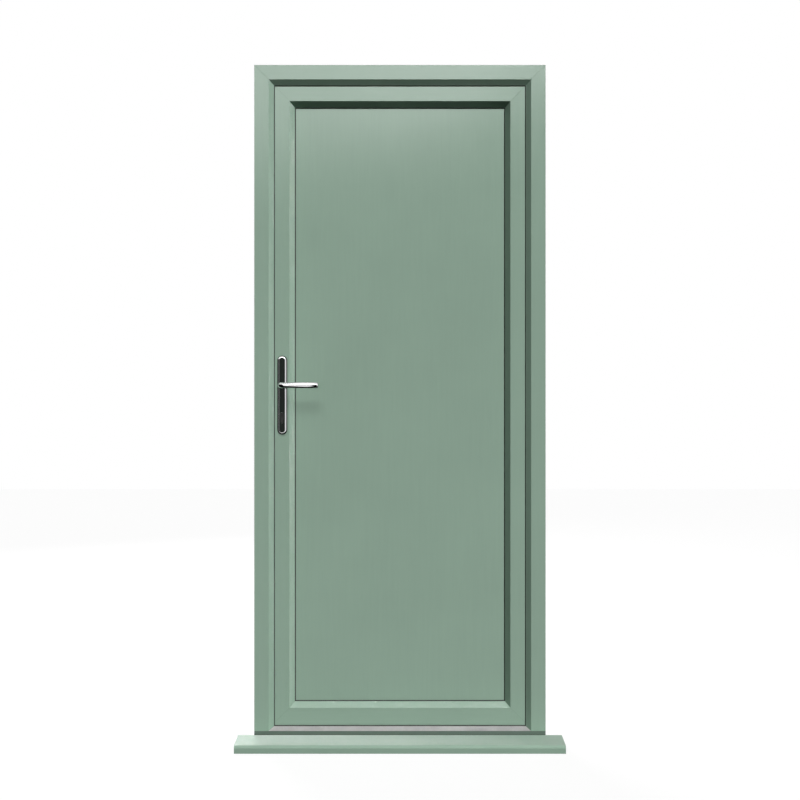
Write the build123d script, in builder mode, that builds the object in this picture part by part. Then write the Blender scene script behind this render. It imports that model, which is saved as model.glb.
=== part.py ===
from build123d import *
import math
import os

os.makedirs("parts", exist_ok=True)

# Door set as hung in a wall: X across, Y from the outside to the room, Z up.
# The origin is on the underside of the cill, at mid width, below the outer face of the frame.

# Overall sizes
DOOR_W = 900.0
DOOR_H = 2100.0
CILL_TOP = 30.0
FRAME_DEPTH = 70.0
WALL = 3.0

# Frame section, measured in from the outer edge of the frame
FRAME_FACE = 44.5
FRAME_TIP = 59.5
FRAME_REBATE = 40.0
UPSTAND = 12.8
NOSE_LAND = 0.5
GROOVE = 2.5
ROOT = 2.3
GASKET_GAP = 0.3

# Sash section, measured from the same edge
SASH_OUT = 15.8
SASH_IN = SASH_OUT + 70.0
SASH_EDGE = 50.0
SASH_FACE = 107.0
SASH_TIP = 121.7
SASH_LIP = 36.5
GLAZING_REBATE = 104.5
FLANGE_EDGE = 30.0
FLANGE_OUT = 73.0
SASH_DATUM = 2.3

# Panel
PANEL_OUT = SASH_LIP + 3.0
PANEL_THICK = 28.0
PANEL_SKIN = 1.5
PANEL_EDGE = 109.0
PANEL_IN = PANEL_OUT + PANEL_THICK

# Threshold section
THRESHOLD_FRONT = 42.4
THRESHOLD_CREST = 54.0
THRESHOLD_TOP = 47.0
THRESHOLD_WALL = 2.0

# Cill section
CILL_LENGTH = 1000.0
CILL_NOSE = 80.0
CILL_NOSE_TOP = 23.5
CILL_CAP = 2.0

# Lock furniture, on the stile at the closing side
BACKSET_F = 85.0
SPINDLE_Z = 1110.0
CYLINDER_Z = 1018.0
LOCK_Y = 45.0
PLATE_Z = 1080.0
PLATE_LENGTH = 245.0
PLATE_WIDTH = 31.0
PLATE_THICK = 10.0
PLATE_SCREW = 107.5
FACEPLATE_LOW = 300.0
FACEPLATE_HIGH = 1850.0
STRIP_LOW = 400.0
STRIP_HIGH = 1740.0
STRIP_TRAVEL = 18.0
CASE_FRONT = 57.0
HOOK_LEVELS = {"upper": 1650.0, "lower": 480.0}

# Bolts: each has its lowest and highest point, and its side faces in Y
BOLT_Y = (41.0, 49.0)
LATCH_Z = (1113.0, 1137.0)
DEADBOLT_Z = (1038.0, 1076.0)

# Hinges
HINGE_LEVELS = {"top": 1850.0, "middle": 1080.0, "bottom": 250.0}
HINGE_F = 18.0
HINGE_Y = 80.0
BARREL_R = 9.0
PIN_R = 3.95
PIN_FIT = 0.03
PIN_TURN = 0.05
KNUCKLE_HALF = 19.7
KNUCKLE_GAP = 0.3
HINGE_HALF = 50.0
LEAF_THICK = 3.0
CORNER_R = 4.0
BARREL_CLEAR_F = (8.0, 30.0)

# Fixing holes through the frame
FIXING_R = 4.0
FIXING_Y = 34.0
JAMB_FIXINGS = (180.0, 780.0, 1330.0, 1950.0)
HEAD_FIXINGS = (-250.0, 250.0)

SCREW_R = 2.0
SCREW_HEAD_R = 4.0
SCREW_HEAD = 2.2
PILOT_R = 2.1
HEAD_CLEAR = 0.1


def lock_x(f):
    """X of a line that lies f in from the frame's edge at the lock side."""
    return -DOOR_W / 2 + f


def hinge_x(f):
    """X of a line that lies f in from the frame's edge at the hinge side."""
    return DOOR_W / 2 - f


def head_z(f):
    """Z of a line that lies f down from the frame's top edge."""
    return DOOR_H - f


def foot_z(f):
    """Z of a line of the sash's bottom rail, f up from its datum."""
    return SASH_DATUM + f


AXIS_X = lock_x(BACKSET_F)

# Planes that carry a section: local x runs in from the edge, local y from outside to inside
LOCK_PLANE = Plane(origin=(lock_x(0), 0, 0), x_dir=(1, 0, 0), z_dir=(0, 0, 1))
HINGE_PLANE = Plane(origin=(hinge_x(0), 0, DOOR_H), x_dir=(-1, 0, 0), z_dir=(0, 0, -1))
HEAD_PLANE = Plane(origin=(lock_x(0), 0, DOOR_H), x_dir=(0, 0, -1), z_dir=(1, 0, 0))
FOOT_PLANE = Plane(origin=(hinge_x(0), 0, SASH_DATUM), x_dir=(0, 0, 1), z_dir=(-1, 0, 0))

# Mitre planes through the four corners
MITRE_TOP_LOCK = Plane(origin=(lock_x(0), 0, DOOR_H), x_dir=(0, 1, 0), z_dir=(1, 0, 1))
MITRE_TOP_HINGE = Plane(origin=(hinge_x(0), 0, DOOR_H), x_dir=(0, 1, 0), z_dir=(1, 0, -1))
MITRE_FOOT_LOCK = Plane(origin=(lock_x(0), 0, SASH_DATUM), x_dir=(0, 1, 0), z_dir=(-1, 0, 1))
MITRE_FOOT_HINGE = Plane(origin=(hinge_x(0), 0, SASH_DATUM), x_dir=(0, 1, 0), z_dir=(1, 0, 1))


def front_plane(y):
    """Upright plane at depth y, seen from outside; a positive extrusion comes outwards."""
    return Plane(origin=(0, y, 0), x_dir=(1, 0, 0), z_dir=(0, -1, 0))


def block_section(f0, f1, y0, y1):
    """Corner points of an upright rectangle in a section."""
    return [(f0, y0), (f1, y0), (f1, y1), (f0, y1)]


def draw_section(outline, chambers):
    """Draw a hollow section in the sketch that is open."""
    Polygon(*outline, align=None)
    for chamber in chambers:
        Polygon(*chamber, align=None, mode=Mode.SUBTRACT)


def cut_block(x, y, z):
    """Cut a block out of the part that is open; each argument is a pair of limits."""
    centre = ((x[0] + x[1]) / 2, (y[0] + y[1]) / 2, (z[0] + z[1]) / 2)
    with Locations(centre):
        Box(x[1] - x[0], y[1] - y[0], z[1] - z[0], mode=Mode.SUBTRACT)


def draw_ring(f_outer, f_inner):
    """Draw a four-sided ring between two lines of the sash, in a front plane."""
    middle = (head_z(0) + foot_z(0)) / 2
    with Locations((0, middle)):
        Rectangle(DOOR_W - 2 * f_outer, head_z(f_outer) - foot_z(f_outer))
        Rectangle(DOOR_W - 2 * f_inner, head_z(f_inner) - foot_z(f_inner), mode=Mode.SUBTRACT)


def draw_portal(f_outer, f_inner, low):
    """Draw a three-sided band, open at the bottom, between two lines of the frame."""
    Polygon(
        (lock_x(f_outer), low), (lock_x(f_outer), head_z(f_outer)),
        (hinge_x(f_outer), head_z(f_outer)), (hinge_x(f_outer), low),
        (hinge_x(f_inner), low), (hinge_x(f_inner), head_z(f_inner)),
        (lock_x(f_inner), head_z(f_inner)), (lock_x(f_inner), low),
        align=None,
    )


def draw_cylinder_profile(grow):
    """Draw the keyhole outline of a profile cylinder, grown all round, in a front plane."""
    with Locations((AXIS_X, CYLINDER_Z)):
        Circle(BARREL_OUTER + grow)
    with Locations((AXIS_X, CYLINDER_Z - CYLINDER_LEG / 2)):
        Rectangle(CYLINDER_LEG_W + 2 * grow, CYLINDER_LEG)
    with Locations((AXIS_X, CYLINDER_Z - CYLINDER_LEG)):
        Circle(CYLINDER_LEG_W / 2 + grow)


def screw_set(planes, length):
    """Add countersunk screws whose heads lie flush in the given planes."""
    top = (Align.CENTER, Align.CENTER, Align.MAX)
    with Locations(*[plane.location for plane in planes]):
        Cylinder(SCREW_R, length, align=top)
        Cone(SCREW_R, SCREW_HEAD_R, SCREW_HEAD, align=top)


# Profile cylinder sizes
BARREL_OUTER = 8.5
CYLINDER_LEG_W = 10.0
CYLINDER_LEG = 19.5
PLUG_R = 6.5
PLUG_CLEAR = 0.05
PROFILE_CLEAR = 0.3
CAM_GAP = (40.5, 49.5)
CAM_R = 13.5
CYLINDER_OUT = SASH_OUT - PLATE_THICK - 1.8
CYLINDER_IN = SASH_IN + PLATE_THICK + 1.8
CYLINDER_SCREW_Z = CYLINDER_Z - 19.5

# Sections
FRAME_OUTLINE = [
    (0, 0), (FRAME_FACE, 0), (FRAME_TIP, UPSTAND - NOSE_LAND), (FRAME_TIP, UPSTAND),
    (FRAME_REBATE, UPSTAND), (FRAME_REBATE, FRAME_DEPTH), (0, FRAME_DEPTH),
]
FRAME_CHAMBERS = [
    block_section(WALL, 36.0, WALL, UPSTAND - WALL),
    [(37.5, WALL), (43.7, WALL), (52.0, UPSTAND - WALL), (37.5, UPSTAND - WALL)],
    block_section(WALL, 8.5, UPSTAND, 55.0),
    block_section(10.0, FRAME_REBATE - WALL, UPSTAND, 55.0),
    block_section(WALL, 20.0, 56.5, FRAME_DEPTH - WALL),
    block_section(21.5, FRAME_REBATE - WALL, 56.5, FRAME_DEPTH - WALL),
    block_section(54.0, 57.0, UPSTAND - GROOVE, UPSTAND),
]
FRAME_STEEL = [
    (10.3, 13.1), (27.0, 13.1), (27.0, 15.1), (12.3, 15.1),
    (12.3, 52.7), (27.0, 52.7), (27.0, 54.7), (10.3, 54.7),
]
GROOVE_UPPER = block_section(SASH_EDGE, SASH_EDGE + 3.0, LOCK_Y - 8.0, LOCK_Y + 8.0)
GROOVE_LOWER = block_section(SASH_EDGE + 3.0, SASH_EDGE + 8.0, LOCK_Y - 7.0, LOCK_Y + 7.0)
SASH_OUTLINE = [
    (SASH_EDGE, SASH_OUT), (SASH_FACE, SASH_OUT), (SASH_TIP, SASH_LIP - NOSE_LAND),
    (SASH_TIP, SASH_LIP), (GLAZING_REBATE, SASH_LIP), (GLAZING_REBATE, SASH_IN),
    (FLANGE_EDGE, SASH_IN), (FLANGE_EDGE, FLANGE_OUT), (SASH_EDGE, FLANGE_OUT),
]
SASH_CHAMBERS = [
    GROOVE_UPPER,
    GROOVE_LOWER,
    block_section(53.0, 94.5, SASH_OUT + WALL, 23.7),
    [(96.0, 18.8), (105.4, 18.8), (108.9, 23.7), (96.0, 23.7)],
    [(103.0, 25.2), (110.0, 25.2), (114.2, 31.0), (103.0, 31.0)],
    block_section(53.0, 59.0, 25.2, 35.5),
    block_section(53.0, 59.0, 54.5, 68.0),
    block_section(60.5, GLAZING_REBATE - WALL, 25.2, 68.0),
    block_section(53.0, 75.0, 69.5, SASH_IN - WALL),
    block_section(76.5, 98.5, 69.5, SASH_IN - WALL),
    block_section(33.0, 51.5, 78.3, SASH_IN - WALL),
    block_section(36.0, 39.0, FLANGE_OUT, FLANGE_OUT + GROOVE),
    block_section(113.0, 116.0, SASH_LIP - GROOVE, SASH_LIP),
    block_section(101.5, GLAZING_REBATE, 71.7, 75.3),
]
SASH_STEEL = [
    (61.0, 25.5), (101.2, 25.5), (101.2, 67.7), (61.0, 67.7),
    (61.0, 65.7), (99.2, 65.7), (99.2, 27.5), (61.0, 27.5),
]
BEAD_FRONT = PANEL_IN + 3.0
BEAD_OUTLINE = [
    (GLAZING_REBATE, BEAD_FRONT), (119.5, BEAD_FRONT), (120.5, PANEL_IN), (123.5, PANEL_IN),
    (124.0, BEAD_FRONT), (124.0, 74.0), (110.0, SASH_IN), (GLAZING_REBATE, SASH_IN),
    (GLAZING_REBATE, 75.0), (101.8, 75.0), (101.8, 72.0), (GLAZING_REBATE, 72.0),
]
BEAD_CHAMBER = [(106.7, 73.0), (121.4, 73.0), (109.4, 83.4), (106.7, 83.4)]
THRESHOLD_OUTLINE = [
    (0, CILL_TOP), (FRAME_DEPTH, CILL_TOP), (FRAME_DEPTH, THRESHOLD_TOP),
    (UPSTAND, THRESHOLD_TOP), (UPSTAND, THRESHOLD_CREST), (0, THRESHOLD_FRONT),
]
THRESHOLD_CHAMBERS = [
    [(2.0, 32.0), (9.6, 32.0), (9.6, 48.4), (2.0, 41.5)],
    block_section(12.0, 38.0, 32.0, THRESHOLD_TOP - THRESHOLD_WALL),
    block_section(40.0, FRAME_DEPTH - 2.0, 32.0, THRESHOLD_TOP - THRESHOLD_WALL),
    block_section(UPSTAND - GROOVE + 0.1, UPSTAND, 49.6, 51.8),
]


# Cill: a hollow extrusion with a rounded nose, a weathered top and a drip groove
def cill_top(y):
    """Height of the weathered top in front of the frame."""
    return CILL_TOP + (CILL_TOP - CILL_NOSE_TOP) * y / CILL_NOSE


CILL_WALL = 2.8
CILL_OUTLINE = [
    (-CILL_NOSE, 0), (-CILL_NOSE, CILL_NOSE_TOP), (0, CILL_TOP),
    (FRAME_DEPTH, CILL_TOP), (FRAME_DEPTH, 0),
]
CILL_CHAMBERS = [
    [(-77.0, 6.0), (-42.0, 6.0), (-42.0, cill_top(-42.0) - CILL_WALL), (-73.0, 20.0), (-77.0, 16.5)],
    [(-40.5, CILL_WALL), (-2.0, CILL_WALL), (-2.0, cill_top(-2.0) - CILL_WALL),
     (-40.5, cill_top(-40.5) - CILL_WALL)],
    block_section(0.5, 34.0, CILL_WALL, CILL_TOP - CILL_WALL),
    block_section(35.5, FRAME_DEPTH - CILL_WALL, CILL_WALL, CILL_TOP - CILL_WALL),
]
DRIP_GROOVE = block_section(-72.0, -67.0, 0.0, 3.0)
NOSE_R = 9.5
CILL_BODY = CILL_LENGTH - 2 * CILL_CAP
SPIGOT_CLEAR = 0.3
SPIGOT_DEPTH = 12.0


def draw_cill_outline():
    """Draw the outer shape of the cill, with its rounded nose."""
    Polygon(*CILL_OUTLINE, align=None)
    fillet([v for v in vertices() if v.X < 1 - CILL_NOSE and v.Y > 1], radius=NOSE_R)


def notch_horn(side):
    """Cut the horn at one end back to the frame's face, so that it runs in front of the wall."""
    span = sorted((side * DOOR_W / 2, side * CILL_LENGTH / 2))
    cut_block(span, (0, FRAME_DEPTH), (0, CILL_TOP))


with BuildPart() as cill:
    with BuildSketch(Plane.YZ.offset(-CILL_BODY / 2)):
        draw_cill_outline()
        for chamber in CILL_CHAMBERS + [DRIP_GROOVE]:
            Polygon(*chamber, align=None, mode=Mode.SUBTRACT)
    extrude(amount=CILL_BODY)
    notch_horn(-1)
    notch_horn(1)

# Cill end caps: a plate with two spigots that plug into the chambers of the horn
with BuildPart() as cill_end_caps:
    with BuildSketch(Plane.YZ.offset(CILL_BODY / 2)):
        draw_cill_outline()
    extrude(amount=CILL_CAP)
    notch_horn(1)
    with BuildSketch(Plane.YZ.offset(CILL_BODY / 2)):
        for chamber in CILL_CHAMBERS[:2]:
            Polygon(*chamber, align=None)
        offset(amount=-SPIGOT_CLEAR)
    extrude(amount=-SPIGOT_DEPTH)
    mirror(about=Plane.YZ)

# Threshold: an aluminium extrusion with a sloped front and an upstand behind the sash's face
with BuildPart() as threshold:
    with BuildSketch(Plane.YZ.offset(-DOOR_W / 2)):
        draw_section(THRESHOLD_OUTLINE, THRESHOLD_CHAMBERS)
    extrude(amount=DOOR_W)

# Threshold seal: a bulb seal pressed into the groove behind the crest, between the jamb seals
GASKET_TIP = FRAME_TIP + 2.5
GASKET_BACK = SASH_OUT - GASKET_GAP
SEAL_OUTLINE = [
    (UPSTAND, 48.0), (UPSTAND + 1.6, 48.0), (GASKET_BACK, 50.0), (GASKET_BACK, 55.3),
    (GASKET_BACK - 1.0, 56.5), (UPSTAND + 0.3, 56.5), (UPSTAND - 0.8, 55.4),
    (UPSTAND - 0.8, THRESHOLD_CREST + 0.05), (UPSTAND, THRESHOLD_CREST + 0.05),
    (UPSTAND, 51.7), (UPSTAND - 2.3, 51.7), (UPSTAND - 2.3, 49.7), (UPSTAND, 49.7),
]
SEAL_LENGTH = DOOR_W - 2 * GASKET_TIP - 0.2
with BuildPart() as threshold_seal:
    with BuildSketch(Plane.YZ.offset(-SEAL_LENGTH / 2)):
        Polygon(*SEAL_OUTLINE, align=None)
    extrude(amount=SEAL_LENGTH)

# Frame: a head and two jambs, mitred at the top and scribed over the threshold
JAMB_LENGTH = DOOR_H - CILL_TOP


def cut_threshold_seat():
    """Scribe the jamb that is open over the threshold."""
    with BuildSketch(Plane.YZ) as seat:
        Polygon(*THRESHOLD_OUTLINE, align=None)
    extrude(seat.sketch, amount=DOOR_W, both=True, mode=Mode.SUBTRACT)


def fixing_hole_planes(side):
    """Planes on the outer edge of a frame member, at its fixing holes."""
    if side == "head":
        return [Plane(origin=(x, FIXING_Y, DOOR_H), z_dir=(0, 0, 1)) for x in HEAD_FIXINGS]
    edge, out = (lock_x(0), -1) if side == "lock" else (hinge_x(0), 1)
    return [Plane(origin=(edge, FIXING_Y, z), z_dir=(out, 0, 0)) for z in JAMB_FIXINGS]


def drill(planes, radius, depth):
    """Drill straight holes into the part that is open."""
    with Locations(*[plane.location for plane in planes]):
        Hole(radius, depth=depth)


# Keep plates on the lock jamb, each with the openings for its bolts
KEEP_THICK = 3.0
KEEP_FACE = FRAME_REBATE + KEEP_THICK
KEEP_Y = (33.0, 57.0)
KEEP_SLOT_Y = (40.0, 50.0)
CENTRE_KEEP_Z = (1015.0, 1160.0)
HOOK_KEEP_HALF = 55.0
HOOK_KEEP_SLOT = (8.5, 29.5)
HOOK_POCKET = (-14.0, 33.0)
BOLT_CLEAR = 1.0
LATCH_SLOT = (LATCH_Z[0] - BOLT_CLEAR, LATCH_Z[1] + BOLT_CLEAR)
DEADBOLT_SLOT = (DEADBOLT_Z[0] - BOLT_CLEAR, DEADBOLT_Z[1] + BOLT_CLEAR)
KEEP_SCREW_LENGTH = 15.0
CENTRE_KEEP_SCREWS = (1024.0, 1094.0, 1150.0)
HOOK_KEEP_SCREWS = (-42.0, 44.0)


def keep_screw_planes(levels):
    """Planes on the face of a keep plate, at its screws."""
    return [Plane(origin=(lock_x(KEEP_FACE), LOCK_Y, z), z_dir=(1, 0, 0)) for z in levels]


hook_keep_screws = [z + step for z in HOOK_LEVELS.values() for step in HOOK_KEEP_SCREWS]
keep_screws = keep_screw_planes(list(CENTRE_KEEP_SCREWS) + hook_keep_screws)

HINGE_LEAF_F = (3.0, 26.0)
HINGE_LEAF_HALF = 68.0
HINGE_LEAF_SCREW_F = 14.5
HINGE_LEAF_SCREW = 60.0
SASH_LEAF_F = (31.0, 76.0)
SASH_LEAF_SCREWS = ((57.0, -38.0), (57.0, 38.0), (70.0, -38.0), (70.0, 38.0))
frame_leaf_screws = [
    Plane(origin=(hinge_x(HINGE_LEAF_SCREW_F), FRAME_DEPTH + LEAF_THICK, z + step), z_dir=(0, 1, 0))
    for z in HINGE_LEVELS.values() for step in (-HINGE_LEAF_SCREW, HINGE_LEAF_SCREW)
]
sash_leaf_screws = [
    Plane(origin=(hinge_x(f), SASH_IN + LEAF_THICK, z + step), z_dir=(0, 1, 0))
    for z in HINGE_LEVELS.values() for f, step in SASH_LEAF_SCREWS
]

with BuildPart() as frame_head:
    with BuildSketch(HEAD_PLANE):
        draw_section(FRAME_OUTLINE, FRAME_CHAMBERS)
    extrude(amount=DOOR_W)
    split(bisect_by=MITRE_TOP_LOCK, keep=Keep.TOP)
    split(bisect_by=MITRE_TOP_HINGE, keep=Keep.BOTTOM)
    drill(fixing_hole_planes("head"), FIXING_R, FRAME_TIP)

with BuildPart() as frame_jamb_lock:
    with BuildSketch(LOCK_PLANE.offset(CILL_TOP)):
        draw_section(FRAME_OUTLINE, FRAME_CHAMBERS)
    extrude(amount=JAMB_LENGTH)
    split(bisect_by=MITRE_TOP_LOCK, keep=Keep.BOTTOM)
    cut_threshold_seat()
    drill(fixing_hole_planes("lock"), FIXING_R, FRAME_TIP)
    drill(keep_screws, PILOT_R, KEEP_SCREW_LENGTH)
    floor = (lock_x(FRAME_REBATE - WALL), lock_x(FRAME_REBATE))
    cut_block(floor, KEEP_SLOT_Y, LATCH_SLOT)
    cut_block(floor, KEEP_SLOT_Y, DEADBOLT_SLOT)
    for level in HOOK_LEVELS.values():
        cut_block(floor, KEEP_SLOT_Y, (level + HOOK_POCKET[0], level + HOOK_POCKET[1]))

with BuildPart() as frame_jamb_hinge:
    with BuildSketch(HINGE_PLANE):
        draw_section(FRAME_OUTLINE, FRAME_CHAMBERS)
    extrude(amount=JAMB_LENGTH)
    split(bisect_by=MITRE_TOP_HINGE, keep=Keep.TOP)
    cut_threshold_seat()
    drill(fixing_hole_planes("hinge"), FIXING_R, FRAME_TIP)
    drill(frame_leaf_screws, PILOT_R, KEEP_SCREW_LENGTH)

# Frame reinforcement: steel channels in the main chambers, cut square and short of the welds
STEEL_END = FRAME_REBATE + 6.0
JAMB_STEEL_LOW = THRESHOLD_TOP + 3.0
JAMB_STEEL_LENGTH = head_z(STEEL_END) - JAMB_STEEL_LOW

with BuildPart() as frame_steel_head:
    with BuildSketch(HEAD_PLANE.offset(STEEL_END)):
        Polygon(*FRAME_STEEL, align=None)
    extrude(amount=DOOR_W - 2 * STEEL_END)
    drill(fixing_hole_planes("head"), FIXING_R, FRAME_TIP)

with BuildPart() as frame_steel_lock:
    with BuildSketch(LOCK_PLANE.offset(JAMB_STEEL_LOW)):
        Polygon(*FRAME_STEEL, align=None)
    extrude(amount=JAMB_STEEL_LENGTH)
    drill(fixing_hole_planes("lock"), FIXING_R, FRAME_TIP)

with BuildPart() as frame_steel_hinge:
    with BuildSketch(HINGE_PLANE.offset(STEEL_END)):
        Polygon(*FRAME_STEEL, align=None)
    extrude(amount=JAMB_STEEL_LENGTH)
    drill(fixing_hole_planes("hinge"), FIXING_R, FRAME_TIP)

# Frame gasket: one run up the lock jamb, along the head and down the hinge jamb
FRAME_GASKET_F = (52.0, GASKET_TIP)
FRAME_ROOT_F = (54.2, 56.8)
FRAME_GASKET_LOW = THRESHOLD_TOP + GASKET_GAP
FRAME_ROOT_LOW = THRESHOLD_CREST + 0.1
with BuildPart() as frame_gasket:
    with BuildSketch(front_plane(GASKET_BACK)):
        draw_portal(*FRAME_GASKET_F, FRAME_GASKET_LOW)
    extrude(amount=GASKET_BACK - UPSTAND)
    with BuildSketch(front_plane(UPSTAND)):
        draw_portal(*FRAME_ROOT_F, FRAME_ROOT_LOW)
    extrude(amount=ROOT)

# Keeps
with BuildPart() as centre_keep:
    with BuildSketch(Plane.XY.offset(CENTRE_KEEP_Z[0])):
        Polygon(*block_section(lock_x(FRAME_REBATE), lock_x(KEEP_FACE), *KEEP_Y), align=None)
    extrude(amount=CENTRE_KEEP_Z[1] - CENTRE_KEEP_Z[0])
    keep_x = (lock_x(FRAME_REBATE), lock_x(KEEP_FACE))
    cut_block(keep_x, KEEP_SLOT_Y, LATCH_SLOT)
    cut_block(keep_x, KEEP_SLOT_Y, DEADBOLT_SLOT)
    fillet(edges().filter_by(Axis.X).group_by(Axis.Z)[0], radius=CORNER_R)
    fillet(edges().filter_by(Axis.X).group_by(Axis.Z)[-1], radius=CORNER_R)
    with Locations(*[plane.location for plane in keep_screw_planes(CENTRE_KEEP_SCREWS)]):
        CounterSinkHole(PILOT_R, SCREW_HEAD_R + HEAD_CLEAR, depth=KEEP_THICK)


def make_hook_keep(level):
    """Keep plate of one hook, whose slot the hook's claw passes and then locks behind."""
    with BuildPart() as keep:
        with BuildSketch(Plane.XY.offset(level - HOOK_KEEP_HALF)):
            Polygon(*block_section(lock_x(FRAME_REBATE), lock_x(KEEP_FACE), *KEEP_Y), align=None)
        extrude(amount=2 * HOOK_KEEP_HALF)
        slot = (level + HOOK_KEEP_SLOT[0], level + HOOK_KEEP_SLOT[1])
        cut_block((lock_x(FRAME_REBATE), lock_x(KEEP_FACE)), KEEP_SLOT_Y, slot)
        fillet(edges().filter_by(Axis.X).group_by(Axis.Z)[0], radius=CORNER_R)
        fillet(edges().filter_by(Axis.X).group_by(Axis.Z)[-1], radius=CORNER_R)
        screws = keep_screw_planes([level + step for step in HOOK_KEEP_SCREWS])
        with Locations(*[plane.location for plane in screws]):
            CounterSinkHole(PILOT_R, SCREW_HEAD_R + HEAD_CLEAR, depth=KEEP_THICK)
    return keep.part


hook_keeps = {name: make_hook_keep(level) for name, level in HOOK_LEVELS.items()}


# Hinges: the frame leaf carries the outer barrels, the sash leaf the middle one
def make_frame_leaf(level):
    """Frame half of a hinge: a plate with two barrels, the lower one blind."""
    low, high = level - HINGE_LEAF_HALF, level + HINGE_LEAF_HALF
    axis = (hinge_x(HINGE_F), HINGE_Y)
    with BuildPart() as leaf:
        with BuildSketch(front_plane(FRAME_DEPTH)):
            with Locations((hinge_x(sum(HINGE_LEAF_F) / 2), level)):
                RectangleRounded(HINGE_LEAF_F[1] - HINGE_LEAF_F[0], high - low, radius=CORNER_R)
        extrude(amount=-LEAF_THICK)
        for start in (level - HINGE_HALF, level + KNUCKLE_HALF + KNUCKLE_GAP):
            with BuildSketch(Plane.XY.offset(start)):
                with Locations(axis):
                    Circle(BARREL_R)
            extrude(amount=HINGE_HALF - KNUCKLE_HALF - KNUCKLE_GAP)
        gap = KNUCKLE_HALF + KNUCKLE_GAP
        across = (hinge_x(BARREL_CLEAR_F[1]), hinge_x(BARREL_CLEAR_F[0]))
        cut_block(across, (FRAME_DEPTH, HINGE_Y + BARREL_R + 1), (level - gap, level + gap))
        with Locations((*axis, level + HINGE_HALF)):
            Hole(PIN_R + PIN_FIT, depth=2 * HINGE_HALF - 4.0)
        screws = [p for p in frame_leaf_screws if abs(p.origin.Z - level) < HINGE_LEAF_HALF]
        with Locations(*[plane.location for plane in screws]):
            CounterSinkHole(PILOT_R, SCREW_HEAD_R + HEAD_CLEAR, depth=LEAF_THICK)
    return leaf.part


def make_sash_leaf(level):
    """Sash half of a hinge: a plate on the stile with one barrel."""
    axis = (hinge_x(HINGE_F), HINGE_Y)
    with BuildPart() as leaf:
        with BuildSketch(front_plane(SASH_IN)):
            with Locations((hinge_x(sum(SASH_LEAF_F) / 2), level)):
                RectangleRounded(SASH_LEAF_F[1] - SASH_LEAF_F[0], 2 * HINGE_HALF, radius=CORNER_R)
            with Locations((hinge_x((HINGE_F + SASH_LEAF_F[0] + 5.0) / 2), level)):
                Rectangle(SASH_LEAF_F[0] + 5.0 - HINGE_F, 2 * KNUCKLE_HALF)
        extrude(amount=-LEAF_THICK)
        with BuildSketch(Plane.XY.offset(level - KNUCKLE_HALF)):
            with Locations(axis):
                Circle(BARREL_R)
        extrude(amount=2 * KNUCKLE_HALF)
        with Locations((*axis, level + KNUCKLE_HALF)):
            Hole(PIN_R + PIN_TURN, depth=2 * KNUCKLE_HALF)
        screws = [p for p in sash_leaf_screws if abs(p.origin.Z - level) < HINGE_HALF]
        with Locations(*[plane.location for plane in screws]):
            CounterSinkHole(PILOT_R, SCREW_HEAD_R + HEAD_CLEAR, depth=LEAF_THICK)
    return leaf.part


frame_leaves = {name: make_frame_leaf(level) for name, level in HINGE_LEVELS.items()}
sash_leaves = {name: make_sash_leaf(level) for name, level in HINGE_LEVELS.items()}

# Hinge pins: a plain pin with a domed head that closes the top of the upper barrel
PIN_LENGTH = 2 * HINGE_HALF - 5.0
PIN_HEAD = 4.0
PIN_HEAD_R = 6.8
PIN_HEAD_ROUND = 2.5
with BuildPart() as hinge_pins:
    for level in HINGE_LEVELS.values():
        with Locations((hinge_x(HINGE_F), HINGE_Y, level + HINGE_HALF)):
            Cylinder(PIN_R, PIN_LENGTH, align=(Align.CENTER, Align.CENTER, Align.MAX))
            Cylinder(PIN_HEAD_R, PIN_HEAD, align=(Align.CENTER, Align.CENTER, Align.MIN))
    heads = [e for e in edges().filter_by(GeomType.CIRCLE) if abs(e.radius - PIN_HEAD_R) < 0.01]
    tops = [e for e in heads if min(abs(e.center().Z - z - HINGE_HALF - PIN_HEAD)
                                    for z in HINGE_LEVELS.values()) < 0.1]
    fillet(tops, radius=PIN_HEAD_ROUND)

# Screws of the keeps and of the frame leaves
with BuildPart() as frame_screws:
    screw_set(keep_screws, KEEP_SCREW_LENGTH)
    screw_set(frame_leaf_screws, KEEP_SCREW_LENGTH)


# Sash: four mitred lengths of one section; the lock stile is routed for its gear
CASE_Y = (37.5, 52.5)
CASE_DEPTH_F = 101.0
CASE_Z = (982.0, 1162.0)
CASE_WALL = 1.5
ROUTING = 0.8
HOOK_CASE_F = 96.0
HOOK_CASE_Y = (38.5, 51.5)
HOOK_CASE_Z = (-26.0, 46.0)
HANDLE_SCREW_R = 2.5
THREAD_CLEAR = 0.02
SPINDLE_ROUT_R = 10.0
SASH_SIDE = head_z(0) - foot_z(0)


def rout_for_furniture():
    """Cut the handle, cylinder and screw passages right through the member that is open."""
    with BuildSketch(front_plane(SASH_OUT - 1)) as passages:
        draw_cylinder_profile(1.0)
        with Locations((AXIS_X, SPINDLE_Z)):
            Circle(SPINDLE_ROUT_R)
        with Locations((AXIS_X, PLATE_Z - PLATE_SCREW), (AXIS_X, PLATE_Z + PLATE_SCREW)):
            Circle(HANDLE_SCREW_R + 0.5)
    extrude(passages.sketch, amount=-(SASH_IN - SASH_OUT + 2), mode=Mode.SUBTRACT)


def rout_for_gear(f0, f1):
    """Cut the pockets for the lock case and the hook cases, between two lines of the section."""
    span = (lock_x(f0), lock_x(f1))
    cut_block(span, (CASE_Y[0] - ROUTING, CASE_Y[1] + ROUTING), (CASE_Z[0] - 2, CASE_Z[1] + 2))
    for level in HOOK_LEVELS.values():
        z = (level + HOOK_CASE_Z[0] - 2, level + HOOK_CASE_Z[1] + 2)
        cut_block(span, (HOOK_CASE_Y[0] - ROUTING, HOOK_CASE_Y[1] + ROUTING), z)


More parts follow.
